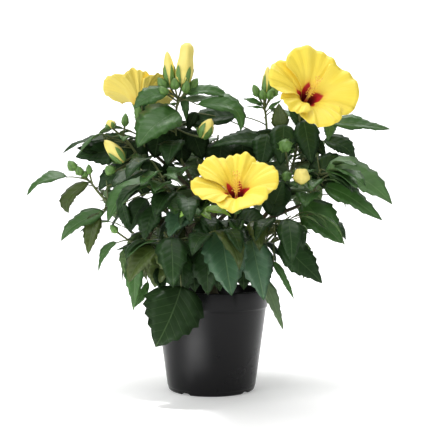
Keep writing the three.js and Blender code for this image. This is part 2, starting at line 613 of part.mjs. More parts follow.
// Whether a piece is clear of all other nodes, and a leaf also of its own mass's other leaves.
function isClear(owner, solid, root) {
  const box = solid.boundingBox();
  return placed.every((other) => {
    if (other.owner === owner && !(root && other.root)) return true;
    if (other.owner === owner && root.distanceTo(other.root) < ROOT_SPACING) return true;
    for (let axis = 0; axis < 3; axis++) {
      if (box.min[axis] > other.box.max[axis] + LEAF_CLEARANCE) return true;
      if (other.box.min[axis] > box.max[axis] + LEAF_CLEARANCE) return true;
    }
    return solid.minGap(other.solid, LEAF_CLEARANCE) >= LEAF_CLEARANCE;
  });
}

// Where a petal begins and ends round the throat: halfway to its neighbours.
function petalSpan(bloom, index) {
  const [angle] = bloom.petals[index];
  const [before] = bloom.petals[(index + PETAL_COUNT - 1) % PETAL_COUNT];
  const [after] = bloom.petals[(index + 1) % PETAL_COUNT];
  return [angle - ((angle - before + 360) % 360) / 2, angle + ((after - angle + 360) % 360) / 2];
}

// The corolla: five petals joined in one thin funnel, its rim cut in five rounded lobes.
function corollaPoint(turn, along, bloom) {
  const place = (turn / 360) * PETAL_COUNT;
  const lobe = place % 1;
  const across = 2 * lobe - 1;
  const index = Math.floor(place) % PETAL_COUNT;
  const [start, end] = petalSpan(bloom, index);
  const rounded = along * (1 - LOBE_DEPTH * Math.abs(across) ** 3 * along);
  const rest = 1 - rounded;
  const weights = [rest ** 3, 3 * rest ** 2 * rounded, 3 * rest * rounded ** 2, rounded ** 3];
  const mix = (axis) => weights.reduce((sum, weight, i) => sum + weight * BLOOM_PROFILE[i][axis], 0);
  const stretch = THREE.MathUtils.lerp(1, bloom.petals[index][1], along);
  const radius = mix(0) * stretch * THREE.MathUtils.lerp(1, bloom.open, along);
  const ruffle = PETAL_RUFFLE * along ** 3 * Math.sin(5 * across + index * 1.7);
  const height = mix(1) + (1 - bloom.open) * CLOSED_RISE * along + ruffle;
  const angle = radians(THREE.MathUtils.lerp(start, end, lobe));
  return new THREE.Vector3(Math.cos(angle) * radius, Math.sin(angle) * radius, height)
    .multiplyScalar(bloom.size);
}

function corolla(bloom) {
  const shares = [0, 0.3, 0.65, 1];
  const inside = shares.map((share) => [1, share]).reverse();
  const outside = shares.map((share) => [2, share]);
  const step = 0.01;
  return solidOf(turned([...outside, ...inside, outside[0]], PETAL_COUNT * 4), (point) => {
    const layer = Math.hypot(point.x, point.y) > 1.5 ? 0.5 : -0.5;
    const turn = (THREE.MathUtils.radToDeg(Math.atan2(point.y, point.x)) + 360.01) % 360;
    const along = point.z;
    const centre = corollaPoint(turn, along, bloom);
    const round = corollaPoint(turn + step, along, bloom).sub(centre);
    const outwards = corollaPoint(turn, along + step, bloom).sub(centre);
    const normal = round.cross(outwards).normalize();
    point.copy(centre).addScaledVector(normal, layer * PETAL_THICKNESS);
  });
}

function bloomSolid(bloom, stem) {
  const facing = vector(bloom.facing).normalize();
  const rise = UP.clone().addScaledVector(facing, -UP.dot(facing)).normalize();
  const side = rise.clone().cross(facing);
  const foot = vector(bloom.foot);
  const frame = new THREE.Matrix4().makeBasis(side, rise, facing).setPosition(foot);
  const parts = [corolla(bloom), solidOf(turned(CALYX_PROFILE, 5))];
  const bend = new THREE.Vector3(bloom.bend[0], bloom.bend[1], COLUMN_LENGTH * bloom.size);
  const column = new THREE.QuadraticBezierCurve3(
    new THREE.Vector3(0, 0, 10), new THREE.Vector3(0, 0, COLUMN_LENGTH * 0.6), bend,
  );
  parts.push(limb(column, taper(...COLUMN_RADII), 3, 2));
  parts.push(solidOf(new THREE.SphereGeometry(3.4, 4, 3)).translate(bend.toArray()));
  const flower = wasm.Manifold.union(parts).transform(frame.elements);
  const top = stem.getPointAt(1);
  const tangent = stem.getTangentAt(1);
  const start = top.clone().addScaledVector(tangent, GAP);
  const end = foot.clone().addScaledVector(facing, 3);
  const stalk = limb(sweep(start, tangent, end, 0.5), taper(STEM_TIP_RADIUS, STALK_RADIUS), 5, 4);
  return joined([flower, stalk]);
}

const group = new THREE.Group();
const add = (name, solid, material) => group.add(meshOf(name, solid, material));

function buildPot() {
  const base = { pot: [potSolid(), PLASTIC], soil: [soilSolid(), EARTH], trunk: [trunkSolid(), BARK] };
  for (const [name, [solid, material]] of Object.entries(base)) {
    add(name, solid, material);
    place(name, solid);
  }
}

// Parents come before the boughs that leave them.
function inOrder(shoots) {
  const done = new Set(['trunk']);
  const order = [];
  while (order.length < shoots.length) {
    for (const shoot of shoots) {
      if (!done.has(shoot.name) && done.has(shoot.parent)) {
        done.add(shoot.name);
        order.push(shoot);
      }
    }
  }
  return order;
}

// Each bough is cut clear of the limbs that stand before it.
function buildBoughs() {
  const swollen = [limb(trunkCurve, (share) => trunkRadius(share) + CUT, 9, 9)];
  for (const shoot of inOrder(SHOOTS)) {
    const curve = boughCurve(shoot);
    const base = Math.min(BOUGH_BASE_RADIUS, boughRadius[shoot.parent] * 0.85);
    curves[shoot.name] = curve;
    boughRadius[shoot.name] = base;
    const whole = limb(curve, taper(base, BOUGH_TIP_RADIUS), 5, 4);
    const solid = joined([whole.subtract(wasm.Manifold.union(swollen))]);
    add(`bough_${shoot.name}`, solid, BARK);
    place(`bough_${shoot.name}`, solid);
    swollen.push(limb(curve, taper(base + CUT, BOUGH_TIP_RADIUS + CUT), 5, 4));
  }
}

function stemCurve(shoot) {
  const bough = curves[shoot.name];
  const heading = bough.getTangentAt(1);
  const start = vector(shoot.tip).addScaledVector(heading, GAP);
  return sweep(start, heading, vector(shoot.top), 0.4);
}

function buildMasses() {
  const stems = {};
  const parts = {};
  for (const shoot of SHOOTS) {
    const stem = stemCurve(shoot);
    const solid = limb(stem, taper(BOUGH_TIP_RADIUS, STEM_TIP_RADIUS), 5, 4);
    stems[shoot.name] = stem;
    parts[shoot.name] = [solid];
    place(shoot.name, solid);
  }
  for (const bloom of BLOOMS) {
    const solid = bloomSolid(bloom, stems[bloom.shoot]);
    add(bloom.name, solid, PETALS);
    place(bloom.name, solid);
  }
  const accept = (name, solid, root) => {
    if (!isClear(name, solid, root)) return false;
    parts[name].push(solid);
    place(name, solid, root);
    return true;
  };
  for (const shoot of SHOOTS) {
    const stem = stems[shoot.name];
    for (const row of shoot.lead) accept(shoot.name, leafSolid(leadLeaf(row, stem)));
    for (const [station, foot, tip, radius] of shoot.buds) {
      const stalk = petiole(stem.getPointAt(station), vector(foot), BUD_STALK_RADIUS);
      const egg = bud(vector(foot), vector(tip), radius);
      accept(shoot.name, wasm.Manifold.union([stalk, egg]));
    }
  }
  for (const shoot of SHOOTS) {
    const { twigs, leaves } = growth(shoot, stems[shoot.name]);
    const fits = (leaf) => leaf.tip.z > shoot.floor
      && nearestMass(leaf.foot.clone().lerp(leaf.tip, 0.4), stems) === shoot.name;
    const fill = (places) => places.some((leaf) => (
      fits(leaf) && accept(shoot.name, leafSolid(leaf), leaf.root)
    ));
    leaves.forEach(fill);
    for (const twig of twigs) {
      if (accept(shoot.name, limb(twig.curve, taper(...TWIG_RADII), 3, 2))) twig.leaves.forEach(fill);
    }
  }
  for (const shoot of SHOOTS) add(`foliage_${shoot.name}`, joined(parts[shoot.name]), FOLIAGE);
}

buildPot();
buildBoughs();
buildMasses();

export default group;
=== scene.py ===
"""A potted hibiscus shrub in bloom, grown leaf by leaf over its plain solids.

Sizes are millimetres until a mesh is made. +Z is up, the front is -Y, and the origin is the centre
of the pot's flat underside. The shrub grows by the same rule and from the same numbers as its
solids: boughs, stems, side twigs and leaves, then a second growth of finer twigs between them.
"""
import json
import math

import bpy
import numpy as np
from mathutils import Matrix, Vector

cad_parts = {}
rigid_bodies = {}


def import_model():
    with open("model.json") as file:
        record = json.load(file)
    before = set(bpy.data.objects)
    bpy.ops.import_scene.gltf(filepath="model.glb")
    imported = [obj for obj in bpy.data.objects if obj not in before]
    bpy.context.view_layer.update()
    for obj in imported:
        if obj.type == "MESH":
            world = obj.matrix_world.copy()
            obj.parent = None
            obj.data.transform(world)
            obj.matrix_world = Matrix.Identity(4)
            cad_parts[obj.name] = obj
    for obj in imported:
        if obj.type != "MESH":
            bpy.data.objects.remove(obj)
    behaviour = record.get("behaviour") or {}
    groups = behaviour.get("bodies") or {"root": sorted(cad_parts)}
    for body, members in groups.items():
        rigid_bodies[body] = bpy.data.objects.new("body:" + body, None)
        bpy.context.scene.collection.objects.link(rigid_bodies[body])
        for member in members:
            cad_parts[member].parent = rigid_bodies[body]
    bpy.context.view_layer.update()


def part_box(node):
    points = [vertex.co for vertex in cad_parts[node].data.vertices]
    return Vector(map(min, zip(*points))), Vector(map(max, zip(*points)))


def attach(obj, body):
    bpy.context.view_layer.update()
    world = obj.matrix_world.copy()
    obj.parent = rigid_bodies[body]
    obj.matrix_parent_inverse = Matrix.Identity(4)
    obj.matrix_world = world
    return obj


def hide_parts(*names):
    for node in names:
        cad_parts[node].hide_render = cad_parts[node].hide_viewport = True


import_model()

METRE = 0.001
BODY = "root"

# The eye that the shrub is seen from, and its focal length in pixels of a frame 430 wide
EYE = np.array([4.0, -950.0, 197.7])
FOCAL_PIXELS = 832.0
FRAME_PIXELS = 430.0

# Pot
POT_HEIGHT = 114.0
HEEL_RADIUS = 50.6
HEEL_HEIGHT = 9.0
FOOT_RADIUS = 46.5
NOTCH_TURN = -37.5
NOTCH_COUNT = 4
NOTCH_HALF_WIDTH = 4.6
NOTCH_RISE = 2.7
NOTCH_FADE = 0.25
NOTCH_INNER_RADIUS = 41.0

# Soil
SOIL_LEVEL = POT_HEIGHT - 12.0
SOIL_RADIUS = 61.0
SOIL_CROWN = 1.5
SOIL_RIPPLES = ((0.9, 0.22, 5), (0.8, 0.7, 6), (0.5, 1.9, 7))

# Trunk and limbs
GAP = 0.3
TRUNK_FOOT_RADIUS = 11.0
TRUNK_RADIUS = 6.4
TRUNK_TOP_RADIUS = 5.0
TRUNK_LENGTH = 46.0
TRUNK_LEAN = (3.0, -3.0)
FLARE_LENGTH = 12.0
BOUGH_BASE_RADIUS = 3.2
BOUGH_TIP_RADIUS = 1.9
BOUGH_SWEEP = 0.42
STEM_TIP_RADIUS = 1.2
TWIG_RADII = (1.1, 0.7)
FINE_TWIG_RADII = (0.8, 0.55)
PETIOLE_RADII = (0.85, 0.65)
STALK_RADIUS = 1.6

# Leaves
FIFTHS = 144.0
TRY_TURNS = (0, 35, -35, 80)
FINE_TURNS = (0, 40, -40, 85, -85, 130, -130, 180)
FINE_SIZES = (0.9, 0.84, 0.78, 0.72, 0.66, 0.6, 0.54)
TESTED_WIDTH = 0.88
PETIOLE_SHARE = 0.28
HANG = 34.0
HANG_HEIGHTS = (130.0, 225.0)

# What a leaf's values vary by: the least, then what chance adds at most
LEAF_RISE = (8, 30)
LEAF_DROOP = (6, 46)
LEAF_SIZE = (0.72, 0.42)
LEAF_WIDTH = (0.5, 0.12)

# Leaves along a twig, and a blade's rows of points with the teeth of its margin
TWIG_LEAVES = ((0.5, 62), (0.75, -62), (0.98, 18))
STATIONS = np.array([0, .07, .17, .29, .36, .395, .50, .535, .63, .665, .76, .795, .89, 1])
TEETH = np.array([1, 1, 1, .99, 1.05, .93, 1.05, .92, 1.06, .90, 1.07, .88, 1.04, 1])
FILL_STATIONS = np.array([0, .10, .25, .40, .445, .60, .645, .80, 1])
FILL_TEETH = np.array([1, 1, 1, 1.05, .93, 1.06, .90, 1.04, 1])
COLUMNS = np.array([-1, -.5, 0, .5, 1])

# Blooms
BLOOM_PROFILE = np.array([(2.6, 9), (9, 30), (11, 46), (48, 49)], float)
PETAL_COUNT = 5
CALYX_PROFILE = ([0, 1.5, 4, 9, 17, 22, 26], [2.2, 3.8, 4.6, 5.2, 6.7, 8.3, 10.2])
CLOSED_RISE = 22.0
PETAL_THICKNESS = 0.45
SEPAL_ROWS = 7
SEPAL_COLUMNS = 3
COLUMN_LENGTH = 50.0
STAMEN_COUNT = 64
STAMEN_TURN = 2.39996
STIGMA_COUNT = 5

# Floor: half its width, where it starts in front, its flat run, its bend's radius and its wall
FLOOR_HALF_WIDTH = 5000.0
FLOOR_FRONT = -2600.0
FLOOR_FLAT = 4000.0
FLOOR_BEND = 1200.0
FLOOR_WALL = 3000.0

# Soft lights: name, place and aim in metres, width and height in metres, and watts
LIGHTS = [
    ("key", (-1.1, -1.25, 0.95), (0, 0, 0.2), (1.0, 1.5), 18),
    ("fill", (1.3, -1.1, 0.6), (0, 0, 0.2), (0.5, 1.3), 4),
    ("top", (0.0, -0.1, 2.2), (0, 0, 0.2), (1.6, 1.6), 16),
    ("backdrop", (0.0, 0.9, 2.4), (0, 2.0, 0.3), (2.6, 0.8), 60),
]

# Beam on the floor at the pot's foot: place and aim in metres, watts and its cone in degrees
BEAM_PLACE = (-0.14, -0.34, 1.0)
BEAM_AIM = (-0.105, -0.165, 0)
BEAM_POWER = 270
BEAM_CONE = 10.5

# Places where the sky shows through the shrub: centre and half sizes, in pixels of the frame
SKY = np.array([
    (219, 96, 4, 1.5), (276, 98, 3, 3), (155, 106, 4, 2), (208, 108, 11, 4), (188, 110, 7, 9),
    (254, 118, 9, 11), (268, 119, 5, 10), (290, 122, 3, 5), (247, 128, 5, 3), (133, 125, 3, 4),
    (224, 130, 12, 8), (323, 133, 4, 3), (328, 151, 5, 9), (119, 141, 3, 3), (155, 165, 9, 4),
    (110, 162, 3, 2), (97, 170, 5, 6), (97, 183, 4, 5), (139, 202, 3, 3), (145, 211, 2, 4),
    (292, 212, 5, 7), (122, 233, 9, 8), (135, 229, 2, 4), (264, 237, 3, 3), (277, 240, 3, 3),
    (136, 287, 3, 4), (148, 294, 5, 3), (273, 278, 3, 12), (285, 270, 7, 7), (298, 290, 8, 9),
    (326, 196, 4, 4), (316, 231, 6, 5), (335, 262, 12, 12), (105, 256, 4, 5), (84, 240, 3, 6),
    (100, 236, 6, 12), (108, 285, 12, 14), (60, 163, 9, 7), (80, 172, 6, 3), (48, 205, 12, 12),
    (78, 201, 5, 5), (360, 205, 8, 7), (355, 135, 10, 3), (372, 168, 8, 8), (233, 75, 12, 10),
    (262, 290, 3, 3), (140, 330, 6, 10), (110, 121, 12, 4), (73, 181, 7, 4), (96, 198, 6, 8),
    (86, 193, 3, 6), (84, 131, 12, 4), (311, 243, 4, 7), (333, 210, 9, 4), (276, 290, 3, 8),
    (120, 240, 8, 5), (182, 110, 3, 8), (113, 262, 5, 8), (362, 147, 9, 7), (150, 295, 5, 4),
    (331, 148, 3, 9), (222, 131, 9, 5), (256, 113, 7, 4), (318, 240, 6, 4),
    (377, 159, 13, 4),
])

# Each shoot: the limb it grows from and how far along, the bough's tip, the stem's top, the usual
# blade length, side twigs and stem leaves, first heading, lowest leaf, seed, then the leaves that
# draw the outline (station, blade's foot, tip, width, upper side's facing, rise of the midrib at
# its middle, tone) and the buds (station, foot, tip, radius, ripeness).
SHOOTS = [
    dict(name="far_left", parent="trunk", at=0.8, tip=(-100, -22, 205), top=(-134, -28, 235),
         leaf=56, twigs=0, leaves=2, turn=150, floor=150, seed=11,
         lead=[(1, (-159, -34, 240), (-204, -40, 220), 25, (0, -0.5, 1), (-3, 0, 5.5), "mid"),
               (0.97, (-135, -30, 234), (-154, -48, 199), 22, (-0.4, -0.8, 0.45), (-12, 0, -1), "olive"),
               (0.4, (-117, -36, 201), (-164, -52, 171), 25, (-0.3, -0.8, 0.65), (-4.4, 0, 3.2), "mid"),
               (0.2, (-125, -38, 200), (-133, -54, 155), 20, (-0.1, -0.95, 0.3), (-1.1, -3, 0), "olive")],
         buds=[(0.97, (-151, -30, 247), (-158, -31, 258), 4.8, 0),
               (0.95, (-144, -30, 242), (-149, -31, 252), 4, 0),
               (0.92, (-139, -27, 239), (-143, -28, 247), 3.6, 0),
               (0.9, (-135, -28, 243), (-136, -29, 254), 3, 0)]),
    dict(name="left_high", parent="far_left", at=0.42, tip=(-70, -8, 240), top=(-100, -5, 287),
         leaf=58, twigs=0, leaves=3, turn=120, floor=215, seed=23,
         lead=[(1, (-118, -8, 284), (-169, -18, 269), 15, (-0.1, -0.6, 1), (0, 0, 4), "deep"),
               (0.8, (-104, -4, 271), (-153, -16, 263), 42, (-0.2, -0.85, 0.5), (0, 0, 1), "deep"),
               (0.65, (-101, 6, 277), (-145, 8, 281), 26, (0, -0.8, 0.6), (-1.2, 0, 3.5), "deep"),
               (0.35, (-87, -12, 247), (-126, -26, 225), 31, (-0.3, -0.8, 0.5), (-3.4, 0, 6.7), "deep")],
         buds=[(0.6, (-97, -30, 256), (-119, -26, 281), 7.5, 0.8),
               (1, (-112, -14, 295), (-116, -15, 305), 5.5, 0.5),
               (1, (-98, -10, 298), (-97, -10, 313), 3.6, 0),
               (0.5, (-108, -38, 243), (-115, -42, 251), 5.5, 0),
               (0.45, (-92, -38, 241), (-95, -42, 249), 5, 0)]),
    dict(name="left_mid", parent="far_left", at=0.26, tip=(-36, -40, 206), top=(-57, -56, 236),
         leaf=62, twigs=1, leaves=2, turn=200, floor=160, seed=37,
         lead=[(1, (-64, -58, 235), (-108, -80, 189), 38, (-0.45, -0.65, 0.75), (-7.4, 0, 8.5), "mid"),
               (0.45, (-71, -32, 216), (-88, -46, 178), 28, (-0.2, -0.9, 0.4), (-3.3, 0, 1.1), "deep"),
               (0.3, (-58, -52, 207), (-70, -62, 169), 30, (-0.3, -0.85, 0.4), (-3.2, 0, 2.1), "deep"),
               (0.6, (-98, -36, 211), (-87, -44, 177), 14, (-0.2, -0.9, 0.3), (-1.1, -1, 0), "deep")],
         buds=[]),
    dict(name="left_low", parent="far_left", at=0.6, tip=(-72, -30, 166), top=(-90, -41, 170),
         leaf=52, twigs=1, leaves=2, turn=190, floor=118, seed=41,
         lead=[(1, (-103, -43, 168), (-121, -50, 136), 13, (-0.5, -0.7, 0.5), (-4.3, 0, 4.3), "mid"),
               (0.95, (-83, -46, 163), (-82, -58, 95), 22, (-0.2, -0.95, 0.2), (0, -2, 0), "mid"),
               (0.5, (-69, -42, 125), (-84, -48, 96), 10, (-0.3, -0.9, 0.2), (1.1, 0, -1.1), "mid")],
         buds=[(0.98, (-102, -50, 179), (-109, -54, 187), 3.4, 0)]),
    dict(name="left_bloom", parent="top", at=0.5, tip=(-64, 20, 266), top=(-86, 15, 296),
         leaf=54, twigs=2, leaves=2, turn=100, floor=240, seed=53, lead=[],
         buds=[(0.95, (-74, 5, 321), (-47, 5, 331), 5.6, 1)]),
    dict(name="top", parent="trunk", at=0.96, tip=(-32, 2, 255), top=(-38, 0, 333),
         leaf=56, twigs=1, leaves=2, turn=60, floor=230, seed=61,
         lead=[(0.97, (-49, -12, 335), (-86, -14, 316), 25, (-0.1, -0.85, 0.5), (-5.5, 0, 4.5), "mid"),
               (0.75, (-37, -12, 314), (-81, -44, 272), 55, (-0.2, -0.8, 0.55), (-3.3, 0, 4.4), "mid"),
               (0.97, (-16, -6, 323), (32, -12, 291), 27, (0.35, -0.8, 0.5), (17, 0, 12), "mid"),
               (0.95, (-29, -2, 335), (27, -4, 328), 17, (0, -0.8, 0.6), (0, 0, 8), "mid")],
         buds=[(1, (-34, -1, 343), (-27, 0, 394), 9.6, 1),
               (0.97, (-41, -6, 340), (-42, -9, 353), 5, 0),
               (0.93, (-50, -9, 334), (-59, -13, 342), 4.6, 0),
               (0.93, (-30, -8, 336), (-27, -12, 349), 4.6, 0),
               (1, (-47, 2, 343), (-51, 3, 386), 6.4, 0.6),
               (0.97, (-52, -3, 341), (-61, -4, 354), 4.8, 0),
               (0.97, (-24, 3, 340), (-16, 4, 355), 4.6, 0),
               (0.55, (-11, -14, 284), (0, -16, 306), 8, 0.3)]),
    dict(name="top_right", parent="top", at=0.3, tip=(48, 12, 252), top=(61, 8, 322),
         leaf=58, twigs=0, leaves=2, turn=40, floor=225, seed=71,
         lead=[(0.72, (29, 8, 312), (-33, 14, 300), 32, (0, -0.8, 0.6), (-2.3, 0, 2.9), "deep"),
               (0.95, (58, 6, 323), (35, 4, 330), 9, (0, -0.8, 0.6), (0, 0, 2.3), "mid"),
               (0.45, (60, -4, 283), (0, -27, 276), 27, (-0.1, -0.8, 0.6), (1.1, 0, 2.8), "deep"),
               (0.5, (65, 0, 284), (98, -26, 279), 32, (0.2, -0.8, 0.6), (0, 0, 3.4), "deep"),
               (0.55, (63, -10, 289), (55, -24, 249), 30, (0, -0.95, 0.3), (0, -2, 0), "deep")],
         buds=[(1, (63, 9, 334), (65, 10, 370), 5.2, 0.3),
               (1, (54, 7, 334), (48, 6, 348), 4, 0),
               (1, (70, 6, 334), (74, 5, 347), 4.8, 0),
               (0.97, (60, 2, 330), (57, -1, 341), 4.4, 0),
               (0.97, (66, 2, 330), (68, -2, 341), 4.4, 0)]),
    dict(name="right_high", parent="right", at=0.55, tip=(86, -6, 238), top=(98, -8, 284),
         leaf=58, twigs=1, leaves=2, turn=20, floor=215, seed=83,
         lead=[(1, (134, -14, 301), (200, -15, 291), 22, (0, -0.8, 0.6), (2.2, 0, 3.4), "mid"),
               (0.9, (126, -18, 281), (161, -25, 259), 28, (0.2, -0.8, 0.55), (4, 0, 4), "deep"),
               (0.95, (135, -12, 306), (130, -20, 280), 15, (0, -0.9, 0.4), (0, -1, 0), "mid"),
               (0.6, (81, -24, 299), (76, -34, 252), 31, (0, -0.95, 0.3), (0, -2, 0), "deep"),
               (0.7, (103, -20, 304), (111, -30, 253), 30, (0.1, -0.95, 0.3), (0, -2, 0), "deep"),
               (0.85, (103, -14, 296), (85, -16, 318), 15, (0, -0.9, 0.4), (1.1, 0, 0), "deep"),
               (0.9, (80, -14, 294), (76, -18, 323), 21, (-0.3, -0.9, 0.1), (-1.1, 0, 0), "olive")],
         buds=[(0.12, (80, -50, 270), (79, -63, 276), 6.8, 0.2),
               (0.35, (95, -66, 237), (96, -80, 241), 8.4, 0.8),
               (0.35, (82, -52, 238), (80, -62, 242), 5, 0)]),
    dict(name="right", parent="trunk", at=0.66, tip=(98, -25, 208), top=(120, -36, 248),
         leaf=64, twigs=1, leaves=2, turn=320, floor=150, seed=97,
         lead=[(1, (124, -42, 246), (195, -52, 208), 47, (0.3, -0.8, 0.55), (4.3, 0, 9.8), "fresh"),
               (0.75, (121, -50, 229), (180, -64, 189), 33, (0.2, -0.8, 0.55), (2.1, 0, 5.4), "mid"),
               (0.3, (100, -48, 212), (137, -76, 166), 41, (0.15, -0.9, 0.35), (1.1, 0, 0), "mid"),
               (0.8, (111, -30, 243), (152, -32, 262), 31, (-0.1, -0.85, 0.5), (0, 0, 2.2), "deep"),
               (0.1, (87, -34, 213), (55, -40, 225), 31, (-0.2, -0.85, 0.4), (0, 0, 2.2), "deep")],
         buds=[]),
    dict(name="front_right", parent="right", at=0.3, tip=(56, -52, 176), top=(80, -80, 191),
         leaf=58, twigs=1, leaves=2, turn=300, floor=116, seed=101,
         lead=[(0.9, (72, -82, 171), (115, -97, 129), 34, (0.15, -0.9, 0.35), (1.5, 0, -3), "deep"),
               (0.5, (64, -88, 150), (85, -94, 110), 9, (0.3, -0.85, 0.3), (1, 0, 1.5), "mid"),
               (0.2, (51, -88, 135), (73, -98, 79), 15, (0.2, -0.9, 0.3), (2.1, 0, 1), "pale"),
               (0.2, (41, -92, 174), (54, -106, 111), 34, (-0.1, -0.9, 0.35), (0, -4, 0), "blue"),
               (0.3, (54, -78, 165), (58, -84, 120), 25, (0.1, -0.9, 0.3), (-2.1, -3, 0), "deep"),
               (0.1, (64, -40, 197), (79, -42, 236), 28, (-0.1, -0.9, 0.3), (0, -2, 0), "deep")],
         buds=[]),
    dict(name="front_bloom", parent="front_low", at=0.45, tip=(18, -42, 172), top=(25, -58, 192),
         leaf=50, twigs=1, leaves=3, turn=250, floor=150, seed=113,
         lead=[(0.3, (29, -52, 173), (49, -75, 147), 34, (0.3, -0.8, 0.5), (0, 0, 4.3), "deep"),
               (0.9, (32, -54, 191), (61, -52, 186), 28, (0.2, -0.7, 0.65), (0, 0, 5.4), "deep")],
         buds=[]),
    dict(name="front_low", parent="trunk", at=0.5, tip=(10, -62, 160), top=(12, -92, 178),
         leaf=54, twigs=1, leaves=2, turn=270, floor=112, seed=127,
         lead=[(0.9, (10, -98, 183), (20, -120, 117), 46, (0.05, -0.95, 0.3), (0, -5, 0), "blue"),
               (0.3, (-5, -72, 164), (-3, -92, 115), 35, (-0.15, -0.9, 0.3), (0, -4, 0), "deep")],
         buds=[]),
    dict(name="front_mid", parent="left_mid", at=0.3, tip=(-10, -46, 188), top=(-19, -76, 204),
         leaf=50, twigs=1, leaves=2, turn=230, floor=140, seed=239,
         lead=[(0.6, (-20, -66, 199), (-43, -84, 173), 36, (-0.3, -0.65, 0.75), (-3.2, 0, 5.3), "blue"),
               (1, (-21, -84, 202), (-32, -100, 195), 11, (-0.2, -0.7, 0.8), (0, 0, 2.1), "young"),
               (1, (-16, -82, 202), (0, -104, 191), 13, (0.1, -0.7, 0.7), (1, 0, 3.1), "young"),
               (1, (-8, -84, 203), (21, -100, 197), 14, (0.1, -0.7, 0.75), (0, 0, 3.1), "young"),
               (0.5, (-7, -64, 193), (5, -86, 159), 32, (0.15, -0.85, 0.4), (0, 0, 2.1), "deep"),
               (0.7, (-25, -60, 200), (-55, -62, 213), 30, (-0.2, -0.7, 0.7), (-1.1, 0, 4.3), "mid")],
         buds=[]),
    dict(name="front_left", parent="front_low", at=0.25, tip=(-32, -50, 160), top=(-35, -84, 164),
         leaf=54, twigs=1, leaves=2, turn=240, floor=112, seed=131,
         # The big low leaf below has the near-black "shade" tone: painted shade.
         lead=[(1, (-30, -104, 126), (-56, -116, 65), 63, (-0.1, -0.95, 0.25), (2, -4, -1), "shade"),
               (0.95, (-46, -96, 169), (-36, -108, 131), 28, (0, -0.9, 0.4), (-1, -3, 0), "olive"),
               (0.8, (-57, -86, 163), (-85, -95, 128), 35, (-0.4, -0.75, 0.5), (-4.1, 0, 3.1), "olive"),
               (0.3, (-51, -58, 154), (-61, -70, 121), 34, (-0.3, -0.9, 0.3), (0, -3, 0), "olive"),
               (0.15, (-32, -60, 152), (-33, -78, 109), 36, (-0.1, -0.9, 0.3), (0, -3, 0), "deep")],
         buds=[]),
    dict(name="back_left_high", parent="back", at=0.55, tip=(-55, 62, 222), top=(-84, 84, 268),
         leaf=62, twigs=2, leaves=4, turn=130, floor=185, seed=149, lead=[],
         buds=[(1, (-88, 87, 276), (-92, 90, 300), 5.4, 0.4)]),
    dict(name="back", parent="trunk", at=0.84, tip=(2, 66, 232), top=(8, 92, 298),
         leaf=62, twigs=2, leaves=4, turn=80, floor=190, seed=151, lead=[],
         buds=[(0.6, (22, 86, 276), (34, 90, 289), 5, 0.3),
               (0.9, (-4, 96, 286), (-14, 100, 294), 4.2, 0)]),
    dict(name="back_right_high", parent="back", at=0.4, tip=(62, 60, 216), top=(94, 82, 266),
         leaf=62, twigs=2, leaves=4, turn=45, floor=180, seed=163, lead=[],
         buds=[(1, (97, 84, 274), (102, 86, 294), 5, 0.2)]),
    dict(name="back_left_low", parent="far_left", at=0.16, tip=(-62, 44, 164), top=(-100, 72, 178),
         leaf=64, twigs=3, leaves=3, turn=150, floor=92, seed=173, lead=[], buds=[]),
    dict(name="back_low", parent="back", at=0.16, tip=(2, 66, 160), top=(4, 106, 174),
         leaf=64, twigs=3, leaves=3, turn=95, floor=92, seed=181, lead=[], buds=[]),
    dict(name="back_right_low", parent="right", at=0.14, tip=(64, 48, 164), top=(104, 72, 180),
         leaf=64, twigs=3, leaves=4, turn=30, floor=92, seed=191, lead=[], buds=[]),
]
